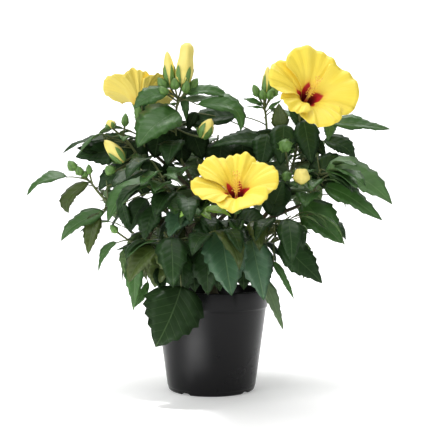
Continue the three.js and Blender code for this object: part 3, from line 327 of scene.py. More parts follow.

# Leaves that fill the shrub behind its outline, by the same columns after the name of their shoot
# Most have the near-black "shade" tone: dark leaves that paint the shade inside the shrub.
INNER = [
    ("top", 0.9, (-31, 4, 330), (8, 6, 331), 11, (0, -0.85, 0.45), (0, 0, 1), "pale"),
    ("top", 0.8, (-33, 7, 337), (-29, 7, 305), 10, (0, -0.95, 0.3), (1, 0, 0), "mid"),
    ("top", 0.3, (-59, 10, 300), (-65, 0, 262), 39, (0, -0.95, 0.3), (0, -3, 0), "shade"),
    ("top", 0.2, (-36, 8, 300), (-33, 2, 254), 39, (0, -0.95, 0.3), (0, -3, 0), "shade"),
    ("top", 0.3, (-22, 2, 295), (-10, -4, 260), 32, (0.1, -0.95, 0.3), (0, -3, 0), "shade"),
    ("top", 0.15, (12, 4, 281), (6, -4, 242), 39, (0, -0.95, 0.3), (0, -3, 0), "shade"),
    ("top", 0.2, (-47, -6, 258), (-51, -10, 233), 16, (0, -0.95, 0.3), (0, -1, 0), "shade"),
    ("left_high", 0.4, (-86, 2, 284), (-95, -8, 240), 36, (0, -0.95, 0.3), (0, -3, 0), "shade"),
    ("left_high", 0.7, (-125, -6, 271), (-152, -14, 273), 14, (-0.1, -0.9, 0.4), (0, -1, 0), "shade"),
    ("left_high", 0.2, (-81, 4, 334), (-74, 4, 310), 10, (0, -0.9, 0.4), (0, -1, 0), "deep"),
    ("left_mid", 0.6, (-67, -14, 260), (-78, -24, 217), 38, (-0.1, -0.95, 0.3), (0, -3, 0), "shade"),
    ("left_low", 0.95, (-81, -44, 167), (-104, -50, 159), 5, (-0.1, -0.9, 0.4), (0, -1, 0), "deep"),
    ("top_right", 0.25, (35, 8, 282), (37, 0, 242), 39, (0, -0.95, 0.3), (0, -3, 0), "shade"),
    ("top_right", 0.5, (-18, 10, 317), (-28, 6, 294), 14, (0, -0.95, 0.3), (0, -1, 0), "shade"),
    ("top_right", 0.6, (78, 0, 290), (38, -4, 289), 11, (0, -0.9, 0.4), (0, 0, 1.1), "shade"),
    ("top_right", 0.95, (60, 4, 326), (42, 4, 326), 3, (0, -0.8, 0.6), (0, 0, 0.6), "mid"),
    ("top_right", 0.9, (60, 4, 320), (38, 4, 322), 4, (0, -0.8, 0.6), (0, 0, 0.6), "mid"),
    ("top_right", 0.9, (65, 4, 319), (81, 2, 329), 6, (0, -0.8, 0.6), (0, 0, 0.6), "mid"),
    ("right", 0.5, (119, -20, 261), (132, -26, 223), 36, (0.2, -0.95, 0.3), (0, -3, 0), "shade"),
    ("right", 0.9, (114, -20, 284), (128, -24, 260), 13, (0.1, -0.95, 0.3), (0, -1, 0), "shade"),
    ("front_low", 0.1, (7, -62, 160), (8, -74, 118), 32, (0, -0.95, 0.3), (0, -3, 0), "shade"),
    ("front_left", 0.1, (-21, -62, 158), (-17, -72, 116), 30, (0, -0.95, 0.3), (0, -3, 0), "shade"),
    ("front_left", 0.2, (-55, -64, 143), (-51, -72, 115), 16, (0, -0.95, 0.3), (0, -2, 0), "shade"),
    ("front_right", 0.1, (34, -68, 161), (34, -78, 119), 30, (0, -0.95, 0.3), (0, -3, 0), "shade"),
]

# Each open bloom: its shoot, the foot of its calyx, the way it faces, its size, how far it has
# opened, the bend of its column, and for each petal its heading round the throat and its length.
BLOOMS = [
    dict(name="bloom_right", shoot="right_high", foot=(98, -16, 313), facing=(0.24, -0.87, 0.42),
         size=1.04, open=1, bend=(5, 8),
         petals=((95, 1.03), (161, 1.04), (220, 0.88), (270, 0.98), (346, 1.01))),
    dict(name="bloom_front", shoot="front_bloom", foot=(27, -70, 200),
         facing=(-0.03, -0.68, 0.73), size=0.95, open=1, bend=(0, 5),
         petals=((13, 0.95), (77, 0.9), (135, 0.99), (204, 1.04), (276, 1.02))),
    dict(name="bloom_left", shoot="left_bloom", foot=(-85, 14, 308), facing=(0.02, 0.5, 0.86),
         size=0.88, open=0.97, bend=(0, 4),
         petals=((20, 1.08), (82, 0.9), (140, 0.93), (205, 1), (285, 0.74))),
]


# Numbers and curves

def unit(vectors):
    """Vectors of length one, the same way round."""
    vectors = np.asarray(vectors, float)
    return vectors / np.maximum(np.linalg.norm(vectors, axis=-1, keepdims=True), 1e-9)


def dot(a, b):
    """Products of two arrays of vectors, kept as a last axis of one."""
    return (a * b).sum(-1, keepdims=True)


def make_random(seed):
    """The shrub's own small generator: state times 1664525 plus 1013904223, kept to 32 bits."""
    state = [seed & 0xFFFFFFFF]

    def draw():
        state[0] = (state[0] * 1664525 + 1013904223) & 0xFFFFFFFF
        return state[0] / 4294967296.0
    return draw


def arc(start, bend, end, t):
    """Points of a bent path: (1-t)^2 start + 2t(1-t) bend + t^2 end."""
    t = np.asarray(t, float)[..., None]
    return (1 - t) ** 2 * start + 2 * t * (1 - t) * bend + t ** 2 * end


def arc_slope(start, bend, end, t):
    """The way a bent path runs: (1-t)(bend - start) + t(end - bend)."""
    t = np.asarray(t, float)[..., None]
    return (1 - t) * (bend - start) + t * (end - bend)


class Path:
    """A bent path that is walked by its length, from 0 at its start to 1 at its end."""

    def __init__(self, start, bend, end):
        self.ends = [np.array(point, float) for point in (start, bend, end)]
        self.steps = np.linspace(0, 1, 201)
        points = arc(*self.ends, self.steps)
        pieces = np.linalg.norm(np.diff(points, axis=0), axis=1)
        self.walked = np.concatenate([[0], np.cumsum(pieces)])

    def step(self, share):
        return np.interp(np.asarray(share) * self.walked[-1], self.walked, self.steps)

    def at(self, share):
        return arc(*self.ends, self.step(share))

    def heading(self, share):
        return unit(arc_slope(*self.ends, self.step(share)))


def sweep(start, heading, end, share):
    """A path that leaves its start along one heading and swings to its end."""
    start, end = np.asarray(start, float), np.asarray(end, float)
    reach = np.linalg.norm(end - start) * share
    return Path(start, start + np.asarray(heading) * reach, end)


def ripple(points, scale, seed):
    """Smooth unevenness between -1 and 1: a sum of sines along four slanted directions."""
    draw = np.random.default_rng(seed)
    ways = unit(draw.normal(size=(4, 3))) * draw.uniform(0.6, 1.7, (4, 1)) * scale
    phases = draw.uniform(0, 6.283, 4)
    return np.sin(points @ ways.T + phases).sum(-1) / 4


# Gathering surfaces

class Heap:
    """Surfaces gathered for one piece: points, faces, each face's finish and its pattern map."""

    def __init__(self):
        self.points, self.corners, self.totals, self.slots = [], [], [], []
        self.maps = {}
        self.count = 0

    def add_points(self, points):
        """Takes (copies, points, 3) and returns where each copy's points start."""
        copies, each = points.shape[:2]
        starts = self.count + np.arange(copies) * each
        self.points.append(points.reshape(-1, 3))
        self.count += copies * each
        return starts

    def add_faces(self, starts, template, slot=0, **maps):
        """Repeats a template of corner numbers for each copy; maps are (copies, points, 2)."""
        faces, corners = template.shape
        self.corners.append((starts[:, None, None] + template).reshape(-1))
        self.totals.append(np.full(len(starts) * faces, corners))
        slots = np.broadcast_to(np.asarray(slot).reshape(-1, 1), (len(starts), faces))
        self.slots.append(slots.reshape(-1))
        for name in maps:
            self.maps.setdefault(name, []).append(maps[name][:, template].reshape(-1, 2))

    def build(self, name, finishes, replaced):
        """Makes the mesh, its pattern maps and its object, which rides on the body."""
        mesh = bpy.data.meshes.new(name)
        points = np.concatenate(self.points) * METRE
        corners = np.concatenate(self.corners)
        totals = np.concatenate(self.totals)
        mesh.vertices.add(len(points))
        mesh.vertices.foreach_set("co", points.reshape(-1))
        mesh.loops.add(len(corners))
        mesh.loops.foreach_set("vertex_index", corners)
        mesh.polygons.add(len(totals))
        mesh.polygons.foreach_set("loop_start", np.cumsum(totals) - totals)
        mesh.polygons.foreach_set("material_index", np.concatenate(self.slots))
        mesh.polygons.foreach_set("use_smooth", np.ones(len(totals), bool))
        mesh.update(calc_edges=True)
        for title, parts in self.maps.items():
            layer = mesh.uv_layers.new(name=title)
            layer.data.foreach_set("uv", np.concatenate(parts).reshape(-1))
        for finish in finishes:
            mesh.materials.append(finish)
        piece = bpy.data.objects.new(name, mesh)
        bpy.context.collection.objects.link(piece)
        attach(piece, BODY)
        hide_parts(*replaced)
        return piece


def grid_faces(rows, columns, closed=False):
    """Corner numbers of a grid of rows and columns, wrapping round where it is closed."""
    row, column = np.meshgrid(np.arange(rows - 1), np.arange(columns - (not closed)), indexing="ij")
    after = (column + 1) % columns
    here = row * columns
    faces = np.stack([here + column, here + after, here + columns + after, here + columns + column], -1)
    return faces.reshape(-1, 4)


def halved(faces):
    """Each four-cornered face as two triangles."""
    return np.concatenate([faces[:, [0, 1, 2]], faces[:, [0, 2, 3]]])


def edges_of(triangles):
    """The three edges of each triangle, as lines."""
    return triangles[:, [[0, 1], [1, 2], [2, 0]]].reshape(-1, 2, 3)


def tube_shape(points, radii, sides):
    """Round limbs about (copies, rings, 3) centres: centre + r (cos a across + sin a over).

    Across is carried from ring to ring, square to the path, so that the tube doesn't twist. Each
    end is closed by a fan to its centre.
    """
    ways = unit(np.gradient(points, axis=1))
    first = np.where(np.abs(ways[:, 0, 2:]) < 0.9, [0.0, 0, 1], [1.0, 0, 0])
    across = [unit(np.cross(first, ways[:, 0]))]
    for ring in range(1, points.shape[1]):
        level = across[-1] - ways[:, ring] * dot(across[-1], ways[:, ring])
        across.append(unit(level))
    across = np.stack(across, 1)
    over = np.cross(ways, across)
    turns = np.arange(sides) * 2 * np.pi / sides
    spokes = (np.cos(turns)[:, None] * across[:, :, None] + np.sin(turns)[:, None] * over[:, :, None])
    return points[:, :, None] + spokes * np.asarray(radii)[..., None, None]


def add_tubes(heap, points, radii, sides, slot=0):
    """Adds closed tubes; radii are (rings,) or (copies, rings)."""
    copies, count = points.shape[:2]
    radii = np.broadcast_to(radii, (copies, count))
    rings = tube_shape(points, radii, sides)
    add_rings(heap, rings, points[:, 0], points[:, -1], slot)


def add_rings(heap, rings, start, end, slot=0):
    """Adds rings of points (copies, rings, sides, 3), closed by a fan at each end."""
    copies, count, sides = rings.shape[:3]
    body = rings.reshape(copies, -1, 3)
    points = np.concatenate([body, start[:, None], end[:, None]], 1)
    starts = heap.add_points(points)
    heap.add_faces(starts, grid_faces(count, sides, closed=True), slot)
    here = np.arange(sides)
    after = (here + 1) % sides
    last = (count - 1) * sides
    foot = np.stack([np.full(sides, count * sides), after, here], -1)
    head = np.stack([np.full(sides, count * sides + 1), last + here, last + after], -1)
    heap.add_faces(starts, np.concatenate([foot, head]), slot)


# Finishes

def new_finish(name, colour, roughness):
    """A finish with its base colour and roughness set on the shader, and its nodes to hand."""
    finish = bpy.data.materials.new(name)
    finish.use_nodes = True
    nodes, links = finish.node_tree.nodes, finish.node_tree.links
    shader = nodes["Principled BSDF"]
    shader.inputs["Base Color"].default_value = (*colour, 1)
    shader.inputs["Roughness"].default_value = roughness
    return finish, nodes, links, shader


def math_node(nodes, links, kind, *values):
    """One Math node, fed by sockets or plain numbers, and its result."""
    node = nodes.new("ShaderNodeMath")
    node.operation = kind
    for socket, value in zip(node.inputs, values):
        if isinstance(value, (int, float)):
            socket.default_value = value
        else:
            links.new(value, socket)
    return node.outputs[0]


def blend_node(nodes, links, share, first, second):
    """Mixes two colours, each a socket or three numbers, by a share."""
    node = nodes.new("ShaderNodeMix")
    node.data_type = "RGBA"
    for socket, value in ((node.inputs["Factor"], share), (node.inputs["A"], first),
                          (node.inputs["B"], second)):
        if isinstance(value, tuple):
            socket.default_value = (*value, 1)
        elif isinstance(value, (int, float)):
            socket.default_value = value
        else:
            links.new(value, socket)
    return node.outputs["Result"]


def noise_node(nodes, links, scale, detail=3.0):
    """Uneven noise on the piece's own coordinates."""
    place = nodes.new("ShaderNodeTexCoord")
    noise = nodes.new("ShaderNodeTexNoise")
    noise.inputs["Scale"].default_value = scale
    noise.inputs["Detail"].default_value = detail
    links.new(place.outputs["Object"], noise.inputs["Vector"])
    return noise.outputs["Fac"]


def bump_node(nodes, links, shader, height, strength, depth):
    """Raises the surface by a height, in metres at full strength."""
    bump = nodes.new("ShaderNodeBump")
    bump.inputs["Strength"].default_value = strength
    bump.inputs["Distance"].default_value = depth
    links.new(height, bump.inputs["Height"])
    links.new(bump.outputs["Normal"], shader.inputs["Normal"])


def range_node(nodes, links, value, low, high):
    """A value taken from low..high to 0..1 and kept inside."""
    node = nodes.new("ShaderNodeMapRange")
    node.interpolation_type = "SMOOTHSTEP"
    node.inputs["From Min"].default_value = low
    node.inputs["From Max"].default_value = high
    links.new(value, node.inputs["Value"])
    return node.outputs["Result"]


def map_axes(nodes, links, title):
    """The x and y of one of the piece's own pattern maps."""
    chart = nodes.new("ShaderNodeUVMap")
    chart.uv_map = title
    split = nodes.new("ShaderNodeSeparateXYZ")
    links.new(chart.outputs["UV"], split.inputs[0])
    return split.outputs["X"], split.outputs["Y"]


def scaled(colour, share):
    """A colour made lighter or darker by a share."""
    return tuple(channel * share for channel in colour)


def mottled_finish(name, colour, roughness, tints, patches, grain, strength, depth):
    """A finish that drifts between two tints by noise, with relief by a noise of its own.

    Patches and grain are the scale and the detail of the two noises.
    """
    finish, nodes, links, shader = new_finish(name, colour, roughness)
    tint = blend_node(nodes, links, noise_node(nodes, links, *patches), *tints)
    links.new(tint, shader.inputs["Base Color"])
    bump_node(nodes, links, shader, noise_node(nodes, links, *grain), strength, depth)
    return finish


def leaf_finish(name, colour, vein_colour, roughness, vein_strength, gloss):
    """A leaf's skin: pale midrib and side veins drawn on its own map, with quilted relief between.

    On the map x runs across the blade and y along it, both in blade lengths, so that the side
    veins are the lines y - 0.8 |x| = a whole number of sevenths.
    """
    finish, nodes, links, shader = new_finish(name, colour, roughness)
    shader.inputs["Specular IOR Level"].default_value = gloss
    sideways, along = map_axes(nodes, links, "Blade")
    across = math_node(nodes, links, "ABSOLUTE", sideways)
    slant = math_node(nodes, links, "MULTIPLY", across, 0.8)
    order = math_node(nodes, links, "SUBTRACT", along, slant)
    beat = math_node(nodes, links, "PINGPONG", math_node(nodes, links, "MULTIPLY", order, 7.0), 0.5)
    side_vein = range_node(nodes, links, beat, 0.06, 0.0)
    midrib = range_node(nodes, links, across, 0.014, 0.004)
    veins = math_node(nodes, links, "MAXIMUM", math_node(nodes, links, "MULTIPLY", side_vein, 0.6), midrib)
    cloud = noise_node(nodes, links, 55.0)
    skin = blend_node(nodes, links, cloud, scaled(colour, 0.72), scaled(colour, 1.3))
    share = math_node(nodes, links, "MULTIPLY", veins, vein_strength)
    links.new(blend_node(nodes, links, share, skin, vein_colour), shader.inputs["Base Color"])
    quilt = math_node(nodes, links, "SUBTRACT", beat, math_node(nodes, links, "MULTIPLY", midrib, 0.5))
    bump_node(nodes, links, shader, quilt, 0.35, 0.0014)
    return finish


def stem_finish(name, colour, roughness):
    """Green bark with browner patches and fine unevenness."""
    brown = tuple(channel * share for channel, share in zip(colour, (1.5, 1.0, 0.8)))
    return mottled_finish(name, colour, roughness, (colour, brown), (160.0, 3.0),
                          (900.0, 3.0), 0.3, 0.0006)


def bark_finish():
    """Grey-brown bark with fine cracks and paler patches."""
    tints = ((0.045, 0.036, 0.02), (0.14, 0.118, 0.066))
    return mottled_finish("bark", (0.085, 0.068, 0.036), 0.85, tints, (120.0, 4.0),
                          (700.0, 5.0), 0.6, 0.001)


def plastic_finish():
    """Black moulded plastic with a satin skin, faint flow marks and dust."""
    finish, nodes, links, shader = new_finish("pot_plastic", (0.003, 0.003, 0.0036), 0.3)
    shader.inputs["Specular IOR Level"].default_value = 0.2
    grain = noise_node(nodes, links, 1400.0, 2.0)
    haze = noise_node(nodes, links, 18.0, 3.0)
    links.new(blend_node(nodes, links, haze, (0.002, 0.002, 0.0024), (0.004, 0.004, 0.0048)),
              shader.inputs["Base Color"])
    links.new(math_node(nodes, links, "MULTIPLY_ADD", haze, 0.12, 0.2), shader.inputs["Roughness"])
    bump_node(nodes, links, shader, grain, 0.12, 0.0003)
    return finish


def soil_finish():
    """Crumbly brown soil."""
    tints = ((0.01, 0.007, 0.005), (0.075, 0.052, 0.033))
    return mottled_finish("potting_soil", (0.03, 0.02, 0.012), 0.95, tints, (260.0, 6.0),
                          (260.0, 6.0), 1.0, 0.003)


def petal_finish():
    """Lemon petal with fine ribs fanning out from its foot and a red throat with pointed lobes.

    On the map x runs across the petal and y from its foot to its rim.
    """
    finish, nodes, links, shader = new_finish("petal", (0.96, 0.75, 0.09), 0.55)
    across, along = map_axes(nodes, links, "Petal")
    middle = math_node(nodes, links, "ABSOLUTE", math_node(nodes, links, "SUBTRACT", across, 0.5))
    tongue = math_node(nodes, links, "MULTIPLY", middle, 0.34)
    edge = math_node(nodes, links, "ADD", along, tongue)
    throat = range_node(nodes, links, edge, 0.56, 0.5)
    deep = range_node(nodes, links, along, 0.42, 0.22)
    fade = range_node(nodes, links, edge, 0.68, 0.5)
    ribs = math_node(nodes, links, "PINGPONG", math_node(nodes, links, "MULTIPLY", across, 26.0), 0.5)
    cloud = noise_node(nodes, links, 40.0)
    lemon = blend_node(nodes, links, cloud, (0.97, 0.74, 0.05), (0.98, 0.83, 0.12))
    shade = blend_node(nodes, links, math_node(nodes, links, "MULTIPLY", ribs, 0.22), lemon,
                       (0.86, 0.56, 0.03))
    warm = blend_node(nodes, links, math_node(nodes, links, "MULTIPLY", fade, 0.35), shade,
                      (0.95, 0.45, 0.05))
    red = blend_node(nodes, links, deep, (0.56, 0.012, 0.018), (0.16, 0.002, 0.008))
    links.new(blend_node(nodes, links, throat, warm, red), shader.inputs["Base Color"])
    bump_node(nodes, links, shader, ribs, 0.35, 0.0006)
    return finish


def petal_back_finish():
    """The petal's back: paler, warm at its foot, with the same ribs. Its yellow is also set a little darker
    than the front's, painted shade for the bloom seen from behind.
    """
    finish, nodes, links, shader = new_finish("petal_back", (0.95, 0.74, 0.12), 0.6)
    across, along = map_axes(nodes, links, "Petal")
    ribs = math_node(nodes, links, "PINGPONG", math_node(nodes, links, "MULTIPLY", across, 22.0), 0.5)
    foot = range_node(nodes, links, along, 0.6, 0.15)
    # A little darker than the front's yellow: painted shade on the petal's back.
    lemon = blend_node(nodes, links, math_node(nodes, links, "MULTIPLY", ribs, 0.4),
                       (0.90, 0.73, 0.14), (0.76, 0.56, 0.06))
    links.new(blend_node(nodes, links, foot, lemon, (0.76, 0.48, 0.05)), shader.inputs["Base Color"])
    bump_node(nodes, links, shader, ribs, 0.5, 0.0008)
    return finish


def bud_petal_finish():
    """Rolled petals of a bud, an uneven yellow with fine relief."""
    tints = ((0.78, 0.66, 0.14), (0.97, 0.83, 0.25))
    return mottled_finish("bud_petal", (0.93, 0.74, 0.16), 0.55, tints, (90.0, 3.0),
                          (420.0, 3.0), 0.3, 0.0006)


def soft_finish(name, colour, roughness=0.5):
    """The soft skin of calyx, bud and column, a little uneven."""
    tints = (scaled(colour, 0.75), scaled(colour, 1.25))
    return mottled_finish(name, colour, roughness, tints, (150.0, 3.0), (600.0, 3.0), 0.2, 0.0006)


# The "shade" tone is a near-black green: painted shade, given to leaves that stand in the shrub's shadow.
TONES = ["shade", "deep", "mid", "olive", "blue", "pale", "fresh", "young"]
TONE_COLOURS = [(0.009, 0.022, 0.006), (0.015, 0.042, 0.010), (0.042, 0.115, 0.022),
                (0.050, 0.076, 0.014), (0.038, 0.098, 0.044), (0.110, 0.170, 0.080),
                (0.074, 0.168, 0.044), (0.210, 0.400, 0.045)]
VEIN = (0.16, 0.27, 0.10)
TONE_GLOSS = [0.08, 0.2, 0.38, 0.3, 0.4, 0.3, 0.5, 0.4]
LEAF_FINISHES = [leaf_finish(f"leaf_{tone}", colour, VEIN, 0.42, 0.1 + 1.6 * colour[1], gloss)
                 for tone, colour, gloss in zip(TONES, TONE_COLOURS, TONE_GLOSS)]
LEAF_FINISHES.append(leaf_finish("leaf_underside", (0.080, 0.140, 0.045), (0.2, 0.3, 0.12), 0.6,
                                 0.5, 0.2))
UNDERSIDE = len(TONES)
STEM = stem_finish("green_stem", (0.075, 0.115, 0.035), 0.55)
BARK = bark_finish()
PLASTIC = plastic_finish()
SOIL = soil_finish()
PETAL = petal_finish()
PETAL_BACK = petal_back_finish()
BUD_PETAL = bud_petal_finish()
CALYX = soft_finish("calyx", (0.13, 0.26, 0.055))
BUD_GREEN = soft_finish("bud_green", (0.10, 0.21, 0.045))
ANTHER = soft_finish("anther", (0.95, 0.72, 0.10), 0.7)
COLUMN = soft_finish("column", (0.96, 0.70, 0.13))
COLUMN_FOOT = soft_finish("column_foot", (0.80, 0.20, 0.05))
STIGMA = soft_finish("stigma", (0.93, 0.56, 0.08))


# Limbs

TRUNK_FOOT = SOIL_LEVEL + SOIL_CROWN + GAP
TRUNK = Path((0, 0, TRUNK_FOOT), (0, 0, TRUNK_FOOT + TRUNK_LENGTH * 0.6),
             (*TRUNK_LEAN, TRUNK_FOOT + TRUNK_LENGTH))


def grow_limbs():
    """The path of every bough and stem, and each bough's radius where it starts.

    A bough leaves its parent between the parent's own heading and the way to its tip; its mass's
    stem goes on from that tip.
    """
    boughs, stems, radii = {"trunk": TRUNK}, {}, {"trunk": TRUNK_TOP_RADIUS}
    waiting = list(SHOOTS)
    while waiting:
        for shoot in list(waiting):
            if shoot["parent"] not in boughs:
                continue
            waiting.remove(shoot)
            parent = boughs[shoot["parent"]]
            start, tip = parent.at(shoot["at"]), np.array(shoot["tip"], float)
            heading = parent.heading(shoot["at"])
            heading = unit(heading + (unit(tip - start) - heading) * 0.45)
            bough = sweep(start, heading, tip, BOUGH_SWEEP)
            name = shoot["name"]
            boughs[name] = bough
            radii[name] = min(BOUGH_BASE_RADIUS, radii[shoot["parent"]] * 0.85)
            onward = bough.heading(1)
            stems[name] = sweep(tip + onward * GAP, onward, shoot["top"], 0.4)
    return boughs, stems, radii


BOUGHS, STEMS, BOUGH_RADII = grow_limbs()


# The rule of growth

def heading_at(degrees):
    """A level heading."""
    return np.array([math.cos(math.radians(degrees)), math.sin(math.radians(degrees)), 0.0])


def leaf_at(root, turn, length, draw):
    """Where a leaf stands: petiole root, blade foot and tip, width, facing and arch.

    It leans outwards from the trunk, and the lower it grows the more it hangs.
    """
    outward = unit([root[0], root[1], 0.0])
    heading = unit(heading_at(turn) + outward * 0.75)
    low, high = HANG_HEIGHTS
    hang = HANG * min(max((high - root[2]) / (high - low), 0), 1)

    def vary(least, added):
        return least + added * draw()

    rise = math.radians(vary(*LEAF_RISE) - hang * 0.6)
    droop = math.radians(vary(*LEAF_DROOP) + hang * 0.8)
    size = length * vary(*LEAF_SIZE)
    share = vary(*LEAF_WIDTH)
    lift = math.sin(rise) * size * PETIOLE_SHARE
    foot = root + heading * math.cos(rise) * size * PETIOLE_SHARE + [0, 0, lift]
    tip = foot + heading * math.cos(droop) * size - [0, 0, math.sin(droop) * size]
    face = heading * 0.3 + [0, 0, 1]
    chord = tip - foot
    up = unit(face - chord * (face @ chord) / (chord @ chord))
    return dict(root=root, foot=foot, tip=tip, width=size * share, face=face, rise=up * size * 0.11)


def growth(shoot, limb, seed, twigs, leaves, length, turns=TRY_TURNS, first=0.0):
    """Leaves round a limb, turned by two fifths, then side twigs with their own leaves.

    Nothing grows on the limb's first share.
    """
    draw = make_random(seed)
    turn0 = shoot["turn"]

    def tries(root, turn):
        return [leaf_at(root, turn + swing, length, draw) for swing in turns]

    def root_at(station):
        return limb.at(first + (1 - first) * station)

    on_stem = []
    for i in range(leaves):
        root = root_at(0.2 + 0.72 * (i + 0.5) / leaves)
        on_stem.append(tries(root, turn0 + 70 + i * FIFTHS))
    side = []
    for i in range(twigs):
        root = root_at(0.1 + 0.7 * (i + 0.5) / twigs)
        turn = turn0 + i * FIFTHS + (draw() - 0.5) * 40
        rise = math.radians(14 + 30 * draw())
        reach = length * (0.5 + 0.3 * draw())
        heading = unit(heading_at(turn) + unit([root[0], root[1], 0.0]) * 0.6)
        end = root + heading * math.cos(rise) * reach + [0, 0, math.sin(rise) * reach]
        path = sweep(root, unit(heading + [0, 0, 1]), end, 0.4)
        own = [tries(path.at(station), turn + swing) for station, swing in TWIG_LEAVES]
        side.append((path, own))
    return on_stem, side


def to_frame(points):
    """Where points fall in the frame, in its pixels from the top left corner."""
    depth = (points[..., 1] - EYE[1]) / FOCAL_PIXELS
    return np.stack([FRAME_PIXELS / 2 + (points[..., 0] - EYE[0]) / depth,
                     FRAME_PIXELS / 2 - (points[..., 2] - EYE[2]) / depth], -1)


def shuts_sky(triangles):
    """Whether any corner, edge's middle or centre falls in a place where the sky shows."""
    middles = (triangles + np.roll(triangles, 1, axis=1)) / 2
    points = np.concatenate([triangles, middles, triangles.mean(1, keepdims=True)], 1)
    spots = to_frame(points.reshape(-1, 3))[:, None]
    return bool((((spots - SKY[:, :2]) / SKY[:, 2:]) ** 2).sum(-1).min() < 1)


def crosses(lines, triangles):
    """Whether any line piece (a, 2, 3) goes through any triangle (b, 3, 3)."""
    if not len(lines) or not len(triangles):
        return False
    start, way = lines[:, None, 0], (lines[:, 1] - lines[:, 0])[:, None]
    corner = triangles[None, :, 0]
    first, second = triangles[None, :, 1] - corner, triangles[None, :, 2] - corner
    normal = np.cross(way, second)
    scale = (first * normal).sum(-1)
    safe = np.where(np.abs(scale) < 1e-9, 1e9, scale)
    offset = start - corner
    u = (offset * normal).sum(-1) / safe
    turned = np.cross(offset, first)
    v = (way * turned).sum(-1) / safe
    t = (second * turned).sum(-1) / safe
    return bool(((u > 0) & (v > 0) & (u + v < 1) & (t > 0) & (t < 1)).any())


class Space:
    """What has grown so far, as thin triangles and lines, to keep leaves from crossing."""

    def __init__(self):
        self.boxes, self.lines, self.triangles = [], [], []

    def keep(self, lines, triangles):
        every = np.concatenate([lines.reshape(-1, 3), triangles.reshape(-1, 3)])
        self.boxes.append(np.concatenate([every.min(0), every.max(0)]))
        self.lines.append(lines)
        self.triangles.append(triangles)

    def is_free(self, lines, triangles):
        every = np.concatenate([lines.reshape(-1, 3), triangles.reshape(-1, 3)])
        boxes = np.array(self.boxes)
        meets = ((boxes[:, :3] < every.max(0)) & (boxes[:, 3:] > every.min(0))).all(-1)
        near = np.flatnonzero(meets)
        if not len(near):
            return True
        others = np.concatenate([self.lines[i] for i in near])
        walls = np.concatenate([self.triangles[i] for i in near])
        return not crosses(lines, walls) and not crosses(others, triangles)


def path_lines(path, count, first=0.0):
    """A path cut into straight lines."""
    points = path.at(np.linspace(first, 1, count + 1))
    return np.stack([points[:-1], points[1:]], 1)


NO_TRIANGLES = np.empty((0, 3, 3))
ROUGH_STATIONS = np.array([0, .2, .45, .75, 1])
ROUGH_FACES = halved(grid_faces(5, 3))


def leaf_arrays(leaves):
    """The leaves' values as arrays, one row to a leaf."""
    keys = ("root", "foot", "tip", "width", "face", "rise", "twist", "wave")
    return {key: np.array([leaf[key] for leaf in leaves], float) for key in keys}


def half_width(stations):
    """Half a blade's width in widths: (sin of pi s^0.72)^0.85, drawn out to a slender point."""
    body = np.sin(np.pi * np.clip(stations, 0, 1) ** 0.72).clip(0) ** 0.85
    return 0.5 * body * (1 - 0.22 * stations ** 3)


def blade_points(pick, stations, columns, teeth):
    """Points of blades: midrib arc + side and height of each column.

    The midrib bends from foot to tip; the halves rise from it by the fold, are puffed a little
    between rib and margin, and the margin waves. The blade twists slowly towards its tip.
    """
    foot, tip, face = pick["foot"], pick["tip"], pick["face"]
    chord = tip - foot
    length = np.linalg.norm(chord, axis=-1)[:, None, None]
    up = unit(face - chord * dot(face, chord) / dot(chord, chord))
    bend = foot + chord * 0.45 + pick["rise"] * 2
    ends = [point[:, None] for point in (foot, bend, tip)]
    midrib = arc(*ends, stations)
    ways = unit(arc_slope(*ends, stations))
    side = unit(np.cross(np.broadcast_to(up[:, None], ways.shape), ways))
    normal = np.cross(ways, side)
    twist = (pick["twist"][:, None] * stations)[..., None]
    side, normal = (side * np.cos(twist) + normal * np.sin(twist),
                    normal * np.cos(twist) - side * np.sin(twist))
    half = (half_width(stations) * teeth)[None, :, None] * pick["width"][:, None, None]
    out = np.abs(columns)
    phase = pick["wave"][:, None, None]
    fold = half * out * 0.16 + half * (out - out ** 2) * 0.5
    wave = np.sin(stations[:, None] * 11 + phase + np.sign(columns) * 1.3) * out ** 2 * 0.028 * length
    curl = (np.clip(stations - 0.62, 0, 1) ** 2)[:, None] * np.cos(phase) * 0.5 * length
    lift = fold + wave * np.sin(np.pi * stations)[:, None] - curl
    return (midrib[:, :, None] + side[:, :, None] * (half * columns)[..., None]
            + normal[:, :, None] * lift[..., None]), normal


def rough_leaf(leaf):
    """A leaf as few triangles and lines, for the crossing test."""
    pick = leaf_arrays([leaf])
    columns = np.array([-1, 0, 1]) * TESTED_WIDTH
    points = blade_points(pick, ROUGH_STATIONS, columns, np.ones(5))[0][0].reshape(-1, 3)
    triangles = points[ROUGH_FACES]
    return edges_of(triangles), triangles


def dress_leaf(leaf, draw, tone=None):
    """Gives a leaf its twist, wave and tone."""
    leaf["twist"] = (draw() - 0.5) * 0.7
    leaf["wave"] = draw() * 6.283
    if tone is None:
        level = (leaf["tip"][2] - 110) / 260 + (draw() - 0.5) * 0.7
        tone = "deep" if level < 0.48 else "mid" if level < 0.9 else "fresh"
        if draw() < 0.1:
            tone = "olive"
    leaf["tone"] = TONES.index(tone)
    return leaf


STEM_SPOTS = np.array([arc(*STEMS[shoot["name"]].ends, [0, 0.5, 1]) for shoot in SHOOTS])
LIMB_SPOTS = np.array([arc(*BOUGHS[shoot["name"]].ends, [0.6, 0.8]) for shoot in SHOOTS])
LIMB_SPOTS = np.concatenate([STEM_SPOTS, LIMB_SPOTS], 1)


def nearest_shoot(point, spots):
    """The shoot whose own spots are nearest to a point."""
    return SHOOTS[int(np.linalg.norm(spots - point, axis=-1).min(-1).argmin())]["name"]


def bloom_frame(bloom):
    """The bloom's own axes: side, rise and facing."""
    facing = unit(bloom["facing"])
    rise = unit(np.array([0, 0, 1.0]) - facing * facing[2])
    return np.cross(rise, facing), rise, facing


def from_bloom(bloom, points):
    """Takes points from a bloom's own axes to the shrub's."""
    return np.array(bloom["foot"], float) + points @ np.array(bloom_frame(bloom))


